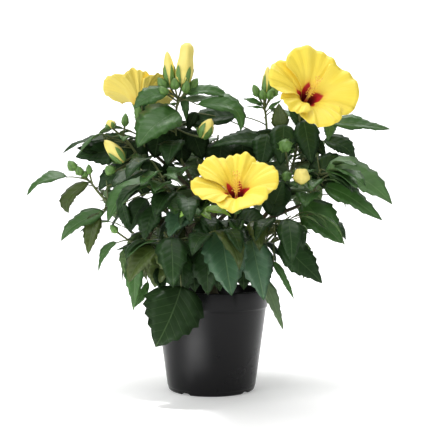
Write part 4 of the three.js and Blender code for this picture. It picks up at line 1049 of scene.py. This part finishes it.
def petal_span(bloom, index):
    """Where a petal begins and ends round the throat: halfway to its neighbours."""
    angles = [petal[0] for petal in bloom["petals"]]
    angle = angles[index]
    before = (angle - angles[index - 1]) % 360
    after = (angles[(index + 1) % PETAL_COUNT] - angle) % 360
    return angle - before / 2, angle + after / 2


def petal_points(bloom, index, across, along):
    """A petal: profile of radius and height carried round by an angle that widens to the rim.

    The rim is rounded, the petals lean over each other like a fan, and the margin is ruffled.
    """
    u, v = np.meshgrid(across, along)
    start, end = petal_span(bloom, index)
    rounded = v * (1 - 0.15 * np.abs(u) ** 3 * v)
    rest = 1 - rounded
    weights = np.stack([rest ** 3, 3 * rest ** 2 * rounded, 3 * rest * rounded ** 2, rounded ** 3], -1)
    radius, height = np.moveaxis(weights @ BLOOM_PROFILE, -1, 0)
    stretch = 1 + (bloom["petals"][index][1] - 1) * v
    radius = radius * stretch * (1 + (bloom["open"] - 1) * v)
    ruffle = 1.9 * v ** 3 * np.sin(7 * u + 1.7 * index) + 1.1 * v ** 6 * np.sin(19 * u + index)
    cup = 2.2 * np.sin(np.pi * v) * (1 - u ** 2) - 1.4 * v * np.exp(-(u * 5) ** 2)
    pleat = 0.55 * v * np.sin(12.5 * u + 2.1 * index) + 0.35 * v ** 2 * np.sin(27 * u + 3 * v + index)
    height = height + (1 - bloom["open"]) * CLOSED_RISE * v + 3.2 * u * v + ruffle - cup + pleat
    half = (end - start) / 2 * (0.95 + 0.34 * v)
    turn = np.radians((start + end) / 2 + u * half)
    points = np.stack([np.cos(turn) * radius, np.sin(turn) * radius, height], -1) * bloom["size"]
    return from_bloom(bloom, points)


def grow_leaves(space):
    """Every leaf and side twig: the outline's leaves first, then each mass's own, then finer growth.

    A leaf is left out where it would leave its mass's space, cross what has grown, or shut a
    place where the sky shows.
    """
    leaves = {shoot["name"]: [] for shoot in SHOOTS}
    twigs = {shoot["name"]: [] for shoot in SHOOTS}
    for shoot in SHOOTS:
        draw = make_random(shoot["seed"] + 7)
        stem = STEMS[shoot["name"]]
        drawn = shoot["lead"] + [row[1:] for row in INNER if row[0] == shoot["name"]]
        for station, foot, tip, width, face, rise, tone in drawn:
            leaf = dict(root=stem.at(station), foot=np.array(foot, float), tip=np.array(tip, float),
                        width=width, face=np.array(face, float), rise=np.array(rise, float))
            dress_leaf(leaf, draw, tone)
            leaf["twist"] *= 0.3
            space.keep(*rough_leaf(leaf))
            leaves[shoot["name"]].append(leaf)

    def fill(shoot, places, draw, box, spots):
        name = shoot["name"]
        for leaf in places:
            if leaf["tip"][2] < shoot["floor"]:
                continue
            if nearest_shoot(leaf["foot"] + (leaf["tip"] - leaf["foot"]) * 0.4, spots) != name:
                continue
            dress_leaf(leaf, draw)
            lines, triangles = rough_leaf(leaf)
            points = triangles.reshape(-1, 3)
            if (points < box[0]).any() or (points > box[1]).any() or shuts_sky(triangles):
                continue
            if space.is_free(lines, triangles):
                space.keep(lines, triangles)
                leaves[name].append(leaf)
                return

    for finer in range(len(FINE_SIZES) + 1):
        for shoot in SHOOTS:
            name, seed, length = shoot["name"], shoot["seed"], shoot["leaf"]
            corners = np.array([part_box("foliage_" + name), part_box("bough_" + name)]) / METRE
            draw = make_random(seed + 31 + finer)
            if finer:
                box = (corners[:, 0].min(0) - 3, corners[:, 1].max(0) + 3)
                length = length * FINE_SIZES[finer - 1]
                plans = [growth(shoot, STEMS[name], seed + 1000 * finer, 4, 4, length, FINE_TURNS),
                         growth(shoot, BOUGHS[name], seed + 1500 * finer, 3, 4, length, FINE_TURNS, 0.3)]
                spots = LIMB_SPOTS
            else:
                box = (corners[0, 0] - 3, corners[0, 1] + 3)
                plans = [growth(shoot, STEMS[name], seed, shoot["twigs"], shoot["leaves"], length)]
                spots = STEM_SPOTS
            for on_stem, side in plans:
                for places in on_stem:
                    fill(shoot, places, draw, box, spots)
                for path, own in side:
                    lines = path_lines(path, 4, 0.15)
                    end = path.at(1)
                    inside = (end > box[0]).all() and (end < box[1]).all()
                    if not inside or not space.is_free(lines, NO_TRIANGLES):
                        continue
                    before = len(leaves[name])
                    for places in own:
                        fill(shoot, places, draw, box, spots)
                    if len(leaves[name]) > before:
                        space.keep(lines, NO_TRIANGLES)
                        twigs[name].append((path, finer))
    return leaves, twigs


def fill_space():
    """Limbs, stalks, blooms and buds, which leaves keep clear of."""
    space = Space()
    for name, path in list(BOUGHS.items()) + list(STEMS.items()):
        space.keep(path_lines(path, 6, 0.05), NO_TRIANGLES)
    for bloom in BLOOMS:
        for index in range(PETAL_COUNT):
            points = petal_points(bloom, index, np.linspace(-1, 1, 5), np.linspace(0.1, 1, 5))
            triangles = points.reshape(-1, 3)[halved(grid_faces(5, 5))]
            space.keep(edges_of(triangles), triangles)
        space.keep(path_lines(stalk_path(bloom), 4), NO_TRIANGLES)
    for shoot in SHOOTS:
        for station, foot, tip, radius, _ in shoot["buds"]:
            foot, tip = np.array(foot, float), np.array(tip, float)
            way = unit(tip - foot)
            side = unit(np.cross(way, [0.3, 1, 0.2])) * radius
            over = np.cross(way, side)
            middle = (foot + tip) / 2
            ring = np.array([middle + side, middle + over, middle - side, middle - over])
            after = np.roll(ring, -1, axis=0)
            low, high = np.broadcast_to(foot, ring.shape), np.broadcast_to(tip, ring.shape)
            triangles = np.concatenate([np.stack([ring, after, low], 1), np.stack([ring, after, high], 1)])
            root = STEMS[shoot["name"]].at(station)
            space.keep(np.array([[root, foot], [foot, tip]]), triangles)
    return space


def stalk_path(bloom):
    """The flower stalk, from its stem's top to the foot of its calyx."""
    stem = STEMS[bloom["shoot"]]
    onward = stem.heading(1)
    foot = np.array(bloom["foot"], float) + unit(bloom["facing"]) * 3
    return sweep(stem.at(1) + onward * GAP, onward, foot, 0.5)


SPACE = fill_space()
LEAVES, TWIGS = grow_leaves(SPACE)


# Pieces of the masses

def leaf_templates(rows):
    """Corner numbers of one blade: foot, tip, then for each row five upper points and a lower rib."""
    width = len(COLUMNS) + 1
    rib = len(COLUMNS)

    def spot(row, column):
        return 2 + (row - 1) * width + column

    upper, lower = [], []
    upper_ends, lower_ends = [], []
    last = rows - 2
    for row in range(1, last):
        for column in range(rib - 1):
            upper.append((spot(row, column), spot(row + 1, column), spot(row + 1, column + 1),
                          spot(row, column + 1)))
        lower.append((spot(row, 0), spot(row, rib), spot(row + 1, rib), spot(row + 1, 0)))
        lower.append((spot(row, rib), spot(row, rib - 1), spot(row + 1, rib - 1), spot(row + 1, rib)))
    for column in range(rib - 1):
        upper_ends.append((0, spot(1, column), spot(1, column + 1)))
        upper_ends.append((spot(last, column), 1, spot(last, column + 1)))
    lower_ends += [(0, spot(1, rib), spot(1, 0)), (0, spot(1, rib - 1), spot(1, rib))]
    lower_ends += [(spot(last, 0), spot(last, rib), 1), (spot(last, rib), spot(last, rib - 1), 1)]
    return [np.array(faces) for faces in (upper, upper_ends, lower, lower_ends)]


def add_blades(heap, leaves, stations, teeth, first, total):
    """Blades in their own outline, with a rib below, the pattern map and the baking map.

    The baking map gives each leaf a square tile: its upper side in the left half, its underside
    in the right.
    """
    pick = leaf_arrays(leaves)
    points, normal = blade_points(pick, stations, COLUMNS, teeth)
    copies = len(leaves)
    length = np.linalg.norm(pick["tip"] - pick["foot"], axis=-1)[:, None]
    rib_depth = np.interp(stations, [0, 0.5, 1], [1.1, 0.7, 0.25])[None, :, None]
    rib = points[:, :, 2] - normal * rib_depth
    rows = np.concatenate([points, rib[:, :, None]], 2)[:, 1:-1].reshape(copies, -1, 3)
    body = np.concatenate([points[:, :1, 2], points[:, -1:, 2], rows], 1)
    half = (half_width(stations) * teeth)[None, :, None] * COLUMNS
    share = np.broadcast_to(half, (copies, len(stations), len(COLUMNS)))
    share = np.concatenate([share, np.zeros((copies, len(stations), 1))], 2)
    station = np.broadcast_to(stations[None, :, None], share.shape)

    def flat(values):
        inner = values[:, 1:-1].reshape(copies, -1)
        return np.concatenate([values[:, :1, 2], values[:, -1:, 2], inner], 1)

    share, station = flat(share), flat(station)
    width = pick["width"][:, None] / length
    blade = np.stack([share * width, station], -1)
    side = math.ceil(math.sqrt(total))
    number = first + np.arange(copies)
    tile = np.stack([number % side, number // side], -1)[:, None] / side
    inset = 0.03

    def bake(middle):
        local = np.stack([middle + share * 0.44, inset + station * (1 - 2 * inset)], -1)
        return tile + local / side

    slot = np.array([leaf["tone"] for leaf in leaves])
    starts = heap.add_points(body)
    upper, upper_ends, lower, lower_ends = leaf_templates(len(stations))
    for template in (upper, upper_ends):
        heap.add_faces(starts, template, slot, Blade=blade, OFBake=bake(0.25))
    for template in (lower, lower_ends):
        heap.add_faces(starts, template, UNDERSIDE, Blade=blade, OFBake=bake(0.75))


def add_petioles(heap, leaves):
    """Slender stalks that bow a little upwards from their root to the blade's foot."""
    pick = leaf_arrays(leaves)
    root, foot, tip = pick["root"][:, None], pick["foot"][:, None], pick["tip"][:, None]
    inside = foot + unit(tip - foot) * 1.2
    length = np.linalg.norm(foot - root, axis=-1, keepdims=True)
    bend = (root + foot) / 2 + np.array([0, 0, 0.12]) * length
    points = arc(root, bend, inside, np.linspace(0, 1, 5))
    add_tubes(heap, points, np.linspace(*PETIOLE_RADII, 5), 5)


def bud_surface(radius, length, ripe, rows=13, sides=20):
    """A bud's rolled petals: a pointed egg with five soft ribs that wind about it as it ripens."""
    t = np.linspace(0.001, 1, rows)[:, None]
    turn = (np.arange(sides) * 2 * np.pi / sides)[None]
    girth = radius * 1.04 * np.sin(np.pi * t ** (0.72 if ripe < 0.9 else 0.66)) ** 0.62
    if ripe >= 0.9:
        girth = np.maximum(girth, radius * 0.82 * (t > 0.5) * (1 - np.clip(t - 0.9, 0, 1) * 6))
    girth = girth * (1 + (0.04 + 0.05 * ripe) * np.cos(5 * turn + 3.0 * ripe * t))
    return np.stack([np.cos(turn) * girth, np.sin(turn) * girth, t * length + 0 * turn], -1)


def sepal_surfaces(radius, length, reach, lean, count, width):
    """Pointed sepals round a bud: strips that hug it and end in a point, leaning out by a share."""
    t = np.linspace(0, 1, SEPAL_ROWS)[:, None]
    u = np.linspace(-1, 1, SEPAL_COLUMNS)[None]
    girth = radius * 1.1 * np.sin(np.pi * np.clip(t * reach, 0.03, 0.9) ** 0.72) ** 0.62 + 0.35
    girth = girth + lean * radius * t ** 2
    half = width * (1 - t) ** 0.6 * np.minimum(1, 0.55 + t * 1.5)
    surfaces = []
    for index in range(count):
        turn = 2 * np.pi * index / count + u * half
        lift = girth * (1 - 0.04 * np.abs(u))
        surfaces.append(np.stack([np.cos(turn) * lift, np.sin(turn) * lift,
                                  t * reach * length + 0 * u], -1))
    return np.array(surfaces)


def add_sepals(heap, strips, centre, thickness, slot):
    """Adds sepals as thin strips, each with a back a little nearer to a centre."""
    front = strips.reshape(len(strips), -1, 3)
    back = front - unit(front - centre) * thickness
    starts = heap.add_points(np.concatenate([front, back], 1))
    faces = grid_faces(SEPAL_ROWS, SEPAL_COLUMNS)
    turned = faces[:, ::-1] + SEPAL_ROWS * SEPAL_COLUMNS
    heap.add_faces(starts, np.concatenate([faces, turned]), slot)


def add_bud(heap, foot, tip, radius, ripe):
    """One bud: rolled petals, five sepals and a ring of narrow bracts, on its axis."""
    foot, tip = np.array(foot, float), np.array(tip, float)
    way = unit(tip - foot)
    length = float(np.linalg.norm(tip - foot))
    side = unit(np.cross(way, [0.31, 0.9, 0.2]))
    axes = np.array([side, np.cross(way, side), way])
    rings = bud_surface(radius, length, ripe)
    body = (foot + rings @ axes)[None]
    add_rings(heap, body, foot[None], tip[None], 1 if ripe > 0.25 else 0)
    reach = 0.82 - 0.36 * ripe
    cover = 0.74 - 0.2 * ripe
    for count, lean, share, width in ((5, 0.02 + 0.1 * ripe, reach, cover), (8, 0.4, reach * 0.5, 0.16)):
        strips = foot + sepal_surfaces(radius, length, share, lean, count, width) @ axes
        add_sepals(heap, strips, foot, 0.3, 2)


def dress_mass(shoot):
    """Replaces one mass: its leaves, its stem, twigs and petioles, and its buds."""
    name = shoot["name"]
    node = "foliage_" + name
    blades = Heap()
    drawn, total = len(shoot["lead"]), len(LEAVES[name])
    if drawn:
        add_blades(blades, LEAVES[name][:drawn], STATIONS, TEETH, 0, total)
    add_blades(blades, LEAVES[name][drawn:], FILL_STATIONS, FILL_TEETH, drawn, total)
    blades.build("leaves_" + name, LEAF_FINISHES, [node])
    wood = Heap()
    stem = STEMS[name]
    shares = np.linspace(0, 1, 9)
    add_tubes(wood, stem.at(shares)[None], np.linspace(BOUGH_TIP_RADIUS, STEM_TIP_RADIUS, 9), 8)
    for finer, radii in ((False, TWIG_RADII), (True, FINE_TWIG_RADII)):
        paths = [path.at(np.linspace(0, 1, 6)) for path, level in TWIGS[name] if bool(level) == finer]
        if paths:
            add_tubes(wood, np.array(paths), np.linspace(*radii, 6), 6)
    add_petioles(wood, LEAVES[name])
    for station, foot, tip, _, _ in shoot["buds"]:
        root, foot = stem.at(station), np.array(foot, float)
        inside = foot + unit(np.array(tip) - foot) * 1.5
        bend = (root + foot) / 2 + (np.array(tip) - foot) * -0.12
        points = arc(root, bend, inside, np.linspace(0, 1, 7))
        add_tubes(wood, points[None], np.linspace(1.0, 1.25, 7), 6)
    wood.build("twigs_" + name, [STEM], [node])
    if shoot["buds"]:
        buds = Heap()
        for _, foot, tip, radius, ripe in shoot["buds"]:
            add_bud(buds, foot, tip, radius, ripe)
        buds.build("buds_" + name, [BUD_GREEN, BUD_PETAL, CALYX], [node])


# Trunk, boughs, pot and soil

def add_limb(heap, path, radius_at, rings, sides, seed, relief):
    """A limb with bark relief: radius times one plus a share of smooth unevenness."""
    shares = np.linspace(0, 1, rings)
    points = path.at(shares)[None]
    shape = tube_shape(points, radius_at(shares)[None], sides)
    rough = ripple(shape * np.array([1.0, 1.0, 0.45]), 1.1, seed) + 0.6 * ripple(shape, 2.7, seed + 1)
    centre = points[:, :, None]
    shape = centre + (shape - centre) * (1 + relief * rough[..., None])
    add_rings(heap, shape, points[:, 0], points[:, -1])


def trunk_radius(share):
    """The trunk's taper, with a flare that dies away above the soil."""
    flare = np.clip(1 - share * TRUNK_LENGTH / FLARE_LENGTH, 0, 1)
    shaft = TRUNK_RADIUS + (TRUNK_TOP_RADIUS - TRUNK_RADIUS) * share
    return shaft + (TRUNK_FOOT_RADIUS - TRUNK_RADIUS) * flare ** 2


def dress_limbs():
    """Trunk and boughs with relief; a bough swells where it leaves its parent."""
    trunk = Heap()
    add_limb(trunk, TRUNK, trunk_radius, 40, 36, 3, 0.05)
    trunk.build("trunk_bark", [BARK], ["trunk"])
    wood = Heap()
    for index, shoot in enumerate(SHOOTS):
        name = shoot["name"]
        base = BOUGH_RADII[name]

        def radius_at(share, base=base):
            return base + (BOUGH_TIP_RADIUS - base) * share + base * 0.4 * np.exp(-share * 14)

        add_limb(wood, BOUGHS[name], radius_at, 30, 14, 20 + index, 0.04)
    wood.build("boughs_bark", [BARK], ["bough_" + shoot["name"] for shoot in SHOOTS])


def dress_pot():
    """The pot: a profile of radius and height turned about the upright axis.

    The profile has a rounded heel, a stepped lip and a rolled rim. At each notch the lowest
    points are raised where they lie within the notch's half width.
    """
    knots = [
        (0, 3), (30, 3), (40, 2.6), (43.6, 0.6), (44.6, 0), (FOOT_RADIUS, 0), (47.4, 0.35),
        (48.6, 1.2), (49.1, 2.2), (49.4, 4.6), (49.9, 5.1), (50.2, 6), (HEEL_RADIUS, HEEL_HEIGHT),
        (54.3, 35), (58.3, 64), (62.1, 91.5), (62.4, 93.4), (62.9, 94.0), (63.5, 94.1), (63.8, 94.6),
        (63.95, 96), (64.4, 104), (64.85, 112.6), (64.75, 113.4), (64.35, 113.9), (63.9, 114),
        (63.4, 113.8), (63.15, 113.2), (63.1, 112), (62.4, 104), (61.2, 96), (57, 70), (0, 70),
    ]
    profile = np.array(knots, float)
    sides = 160
    turn = np.arange(sides) * 2 * np.pi / sides
    radius = np.broadcast_to(profile[:, :1], (len(profile), sides)).copy()
    height = np.broadcast_to(profile[:, 1:], (len(profile), sides)).copy()
    first = np.radians(-90 + NOTCH_TURN)
    spread = 2 * np.pi / NOTCH_COUNT
    off = (turn - first + spread / 2) % spread - spread / 2
    depth = 1 + NOTCH_FADE - np.abs(off) * FOOT_RADIUS / NOTCH_HALF_WIDTH
    inside = np.clip(depth, 0, NOTCH_FADE) / NOTCH_FADE
    low = (profile[:, :1] > NOTCH_INNER_RADIUS) & (profile[:, 1:] < NOTCH_RISE)
    height = np.where(low, height + (NOTCH_RISE - height) * inside, height)
    shape = np.stack([np.cos(turn) * radius, np.sin(turn) * radius, height], -1)
    heap = Heap()
    inner = shape[1:-1]
    foot = np.array([[0, 0, profile[0, 1]]])
    head = np.array([[0, 0, profile[-1, 1]]])
    add_rings(heap, inner[None], foot, head)
    pot = heap.build("pot_shell", [PLASTIC], ["pot"])
    pot.data.set_sharp_from_angle(angle=math.radians(35))


def dress_soil():
    """Soil: a domed disc whose height is raised and lowered by layered unevenness."""
    rings, sides = 60, 140
    share = np.linspace(0.004, 1, rings)[:, None]
    turn = (np.arange(sides) * 2 * np.pi / sides)[None]
    radius = SOIL_RADIUS * share
    x, y = radius * np.cos(turn), radius * np.sin(turn)
    flat = np.stack([x, y, 0 * x], -1)
    rough = sum(height * ripple(flat, scale, seed) for height, scale, seed in SOIL_RIPPLES)
    dome = SOIL_CROWN * (1 - share ** 2)
    edge = np.clip((1 - share) * 12, 0, 1)
    z = SOIL_LEVEL - 0.8 + dome + rough * edge
    top = np.stack([x, y, z], -1)
    wall = np.stack([x[-1:] * 0.99, y[-1:] * 0.99, z[-1:] - 14], -1)
    shape = np.concatenate([wall, top[::-1]])
    heap = Heap()
    add_rings(heap, shape[None], np.array([[0, 0, SOIL_LEVEL - 15]]), np.array([[0, 0, z[0].mean()]]))
    heap.build("soil_surface", [SOIL], ["soil"])


# Blooms

def dress_petals(bloom):
    """Five overlapping petals, each a sheet that is then given its thickness."""
    name = bloom["name"]
    petals = Heap()
    across, along = np.linspace(-1, 1, 41), np.linspace(0, 1, 25)
    faces = grid_faces(25, 41)[:, ::-1]
    u, v = np.meshgrid(across * 0.5 + 0.5, along)
    chart = np.stack([u, v], -1).reshape(1, -1, 2)
    for index in range(PETAL_COUNT):
        points = petal_points(bloom, index, across, along).reshape(1, -1, 3)
        starts = petals.add_points(points)
        petals.add_faces(starts, faces, 0, Petal=chart)
    piece = petals.build("petals_" + name, [PETAL, PETAL_BACK], [name])
    wall = piece.modifiers.new("thickness", "SOLIDIFY")
    wall.thickness = PETAL_THICKNESS * METRE
    wall.offset = 0
    wall.material_offset = 1
    wall.material_offset_rim = 1


def dress_calyx(bloom):
    """The flower's stalk, its calyx of five lobes and the narrow bracts below it."""
    name = bloom["name"]
    green = Heap()
    stalk = stalk_path(bloom).at(np.linspace(0, 1, 12))
    add_tubes(green, stalk[None], np.linspace(STEM_TIP_RADIUS, STALK_RADIUS, 12), 8, 1)
    size = bloom["size"]
    rows, sides = 14, 30
    t = np.linspace(0, 1, rows)[:, None]
    turn = (np.arange(sides) * 2 * np.pi / sides)[None]
    lobe = np.abs(np.cos(2.5 * turn))
    tall = t * (17 + 9 * lobe)
    girth = np.interp(tall, *CALYX_PROFILE)
    outer = np.stack([np.cos(turn) * girth, np.sin(turn) * girth, tall], -1)
    inner = np.stack([np.cos(turn) * (girth - 0.5), np.sin(turn) * (girth - 0.5), tall], -1)
    cup = np.concatenate([outer, inner[:0:-1]]) * size
    low = np.array([[0, 0, cup[-1, :, 2].mean()]])
    add_rings(green, from_bloom(bloom, cup)[None], from_bloom(bloom, np.zeros((1, 3))),
              from_bloom(bloom, low), 0)
    bracts = sepal_surfaces(5.2 * size, 26 * size, 0.42, 0.7, 8, 0.15).reshape(8, -1, 3)
    add_sepals(green, from_bloom(bloom, bracts), np.array(bloom["foot"], float), 0.35, 0)
    green.build("calyx_" + name, [CALYX, STEM], [name])


def dress_column(bloom):
    """The column on its red foot, the stamens wound about it and five stigmas at its tip."""
    name, size = bloom["name"], bloom["size"]
    heart = Heap()
    bend_x, bend_y = bloom["bend"]
    path = Path((0, 0, 8 * size), (0, 0, COLUMN_LENGTH * 0.6), (bend_x, bend_y, COLUMN_LENGTH * size))
    spots = path.at(np.linspace(0, 1, 14))
    add_tubes(heart, from_bloom(bloom, spots[5:])[None], np.linspace(1.5, 1.0, 9), 10, 0)
    add_tubes(heart, from_bloom(bloom, spots[:6])[None], np.linspace(2.2, 1.6, 6), 10, 3)
    count = STAMEN_COUNT
    share = 0.5 + 0.44 * (np.arange(count) + 0.5) / count
    spin = np.arange(count) * STAMEN_TURN
    way = np.stack([np.cos(spin), np.sin(spin), np.full(count, 0.45)], -1)
    root = path.at(share)
    length = (3.6 + 1.4 * np.sin(np.arange(count) * 1.9))[:, None]
    tips = root + unit(way) * length
    threads = root[:, None] + (tips - root)[:, None] * np.linspace(0, 1, 3)[None, :, None]
    add_tubes(heart, from_bloom(bloom, threads.reshape(-1, 3)).reshape(count, 3, 3), np.full(3, 0.22), 4, 0)
    add_beads(heart, from_bloom(bloom, tips), 0.6, 1)
    top = path.at(1)
    count = STIGMA_COUNT
    turns = np.arange(count) * 2 * np.pi / count
    arms = top + np.stack([np.cos(turns) * 3.2, np.sin(turns) * 3.2, np.full(count, 3.0)], -1)
    links = top + (arms - top)[:, None] * np.linspace(0, 1, 3)[None, :, None]
    add_tubes(heart, from_bloom(bloom, links.reshape(-1, 3)).reshape(count, 3, 3), np.full(3, 0.4), 5, 0)
    add_beads(heart, from_bloom(bloom, arms), 0.95, 2)
    heart.build("column_" + name, [COLUMN, ANTHER, STIGMA, COLUMN_FOOT], [name])


def add_beads(heap, centres, radius, slot):
    """Small round beads of three rings of six points."""
    turn = np.arange(6) * np.pi / 3
    tilt = np.radians([-45, 0, 45])[:, None]
    ring = np.stack([np.cos(turn) * np.cos(tilt), np.sin(turn) * np.cos(tilt),
                     np.sin(tilt) + 0 * turn], -1) * radius
    shape = centres[:, None, None] + ring[None]
    pole = np.array([0, 0, radius])
    add_rings(heap, shape, centres - pole, centres + pole, slot)


# The whole shrub and its setting

def set_floor():
    """A plain pale floor that runs flat, bends up on a quarter circle and ends as a wall."""
    rows, columns = 90, 9
    across = np.linspace(-FLOOR_HALF_WIDTH, FLOOR_HALF_WIDTH, columns)
    quarter = FLOOR_BEND * np.pi / 2
    reach = np.linspace(0, 1, rows) * (FLOOR_FLAT + quarter + FLOOR_WALL)
    turned = np.clip((reach - FLOOR_FLAT) / FLOOR_BEND, 0, np.pi / 2)
    y = np.minimum(reach, FLOOR_FLAT) + FLOOR_FRONT + FLOOR_BEND * np.sin(turned)
    z = FLOOR_BEND * (1 - np.cos(turned)) + np.maximum(reach - FLOOR_FLAT - quarter, 0)
    x, y = np.meshgrid(across, y)
    z = np.broadcast_to(z[:, None], x.shape)
    points = np.stack([x, y, z], -1).reshape(-1, 3) * METRE
    mesh = bpy.data.meshes.new("floor")
    mesh.from_pydata(points.tolist(), [], grid_faces(rows, columns).tolist())
    mesh.polygons.foreach_set("use_smooth", np.ones(len(mesh.polygons), bool))
    floor = bpy.data.objects.new("floor", mesh)
    bpy.context.collection.objects.link(floor)
    paper, _, _, shader = new_finish("pale_paper", (0.93, 0.93, 0.93), 0.9)
    shader.inputs["Specular IOR Level"].default_value = 0.1
    shader.inputs["Emission Color"].default_value = (1, 1, 1, 1)
    shader.inputs["Emission Strength"].default_value = 0.26
    mesh.materials.append(paper)


def add_light(title, kind, place, aim, power):
    """A light that stands at a place and faces its aim."""
    lamp = bpy.data.lights.new(title, kind)
    lamp.energy = power
    light = bpy.data.objects.new(title, lamp)
    light.location = place
    light.rotation_euler = (Vector(aim) - Vector(place)).to_track_quat("-Z", "Y").to_euler()
    bpy.context.collection.objects.link(light)
    return lamp


def set_lights():
    """A faint white surround, soft lights, and a beam on the floor that the pot's wall mirrors."""
    world = bpy.data.worlds.new("studio")
    world.use_nodes = True
    backdrop = world.node_tree.nodes["Background"]
    backdrop.inputs["Color"].default_value = (1, 1, 1, 1)
    backdrop.inputs["Strength"].default_value = 0.2
    bpy.context.scene.world = world

    for title, place, aim, size, power in LIGHTS:
        lamp = add_light(title, "AREA", place, aim, power)
        lamp.shape = "RECTANGLE"
        lamp.size, lamp.size_y = size
    beam = add_light("floor glow", "SPOT", BEAM_PLACE, BEAM_AIM, BEAM_POWER)
    beam.spot_size = math.radians(BEAM_CONE)
    beam.spot_blend = 1
    beam.shadow_soft_size = 0.05


def set_camera():
    """A level camera at the eye that the shrub is seen from."""
    camera = bpy.data.cameras.new("camera")
    camera.sensor_width = 36
    camera.lens = 36 * FOCAL_PIXELS / FRAME_PIXELS
    eye = bpy.data.objects.new("camera", camera)
    eye.location = EYE * METRE
    eye.rotation_euler = (math.pi / 2, 0, 0)
    bpy.context.collection.objects.link(eye)
    bpy.context.scene.camera = eye
    bpy.context.scene.view_settings.view_transform = "Standard"


for shoot in SHOOTS:
    dress_mass(shoot)
dress_limbs()
dress_pot()
dress_soil()
for bloom in BLOOMS:
    dress_petals(bloom)
    dress_calyx(bloom)
    dress_column(bloom)
set_floor()
set_lights()
set_camera()
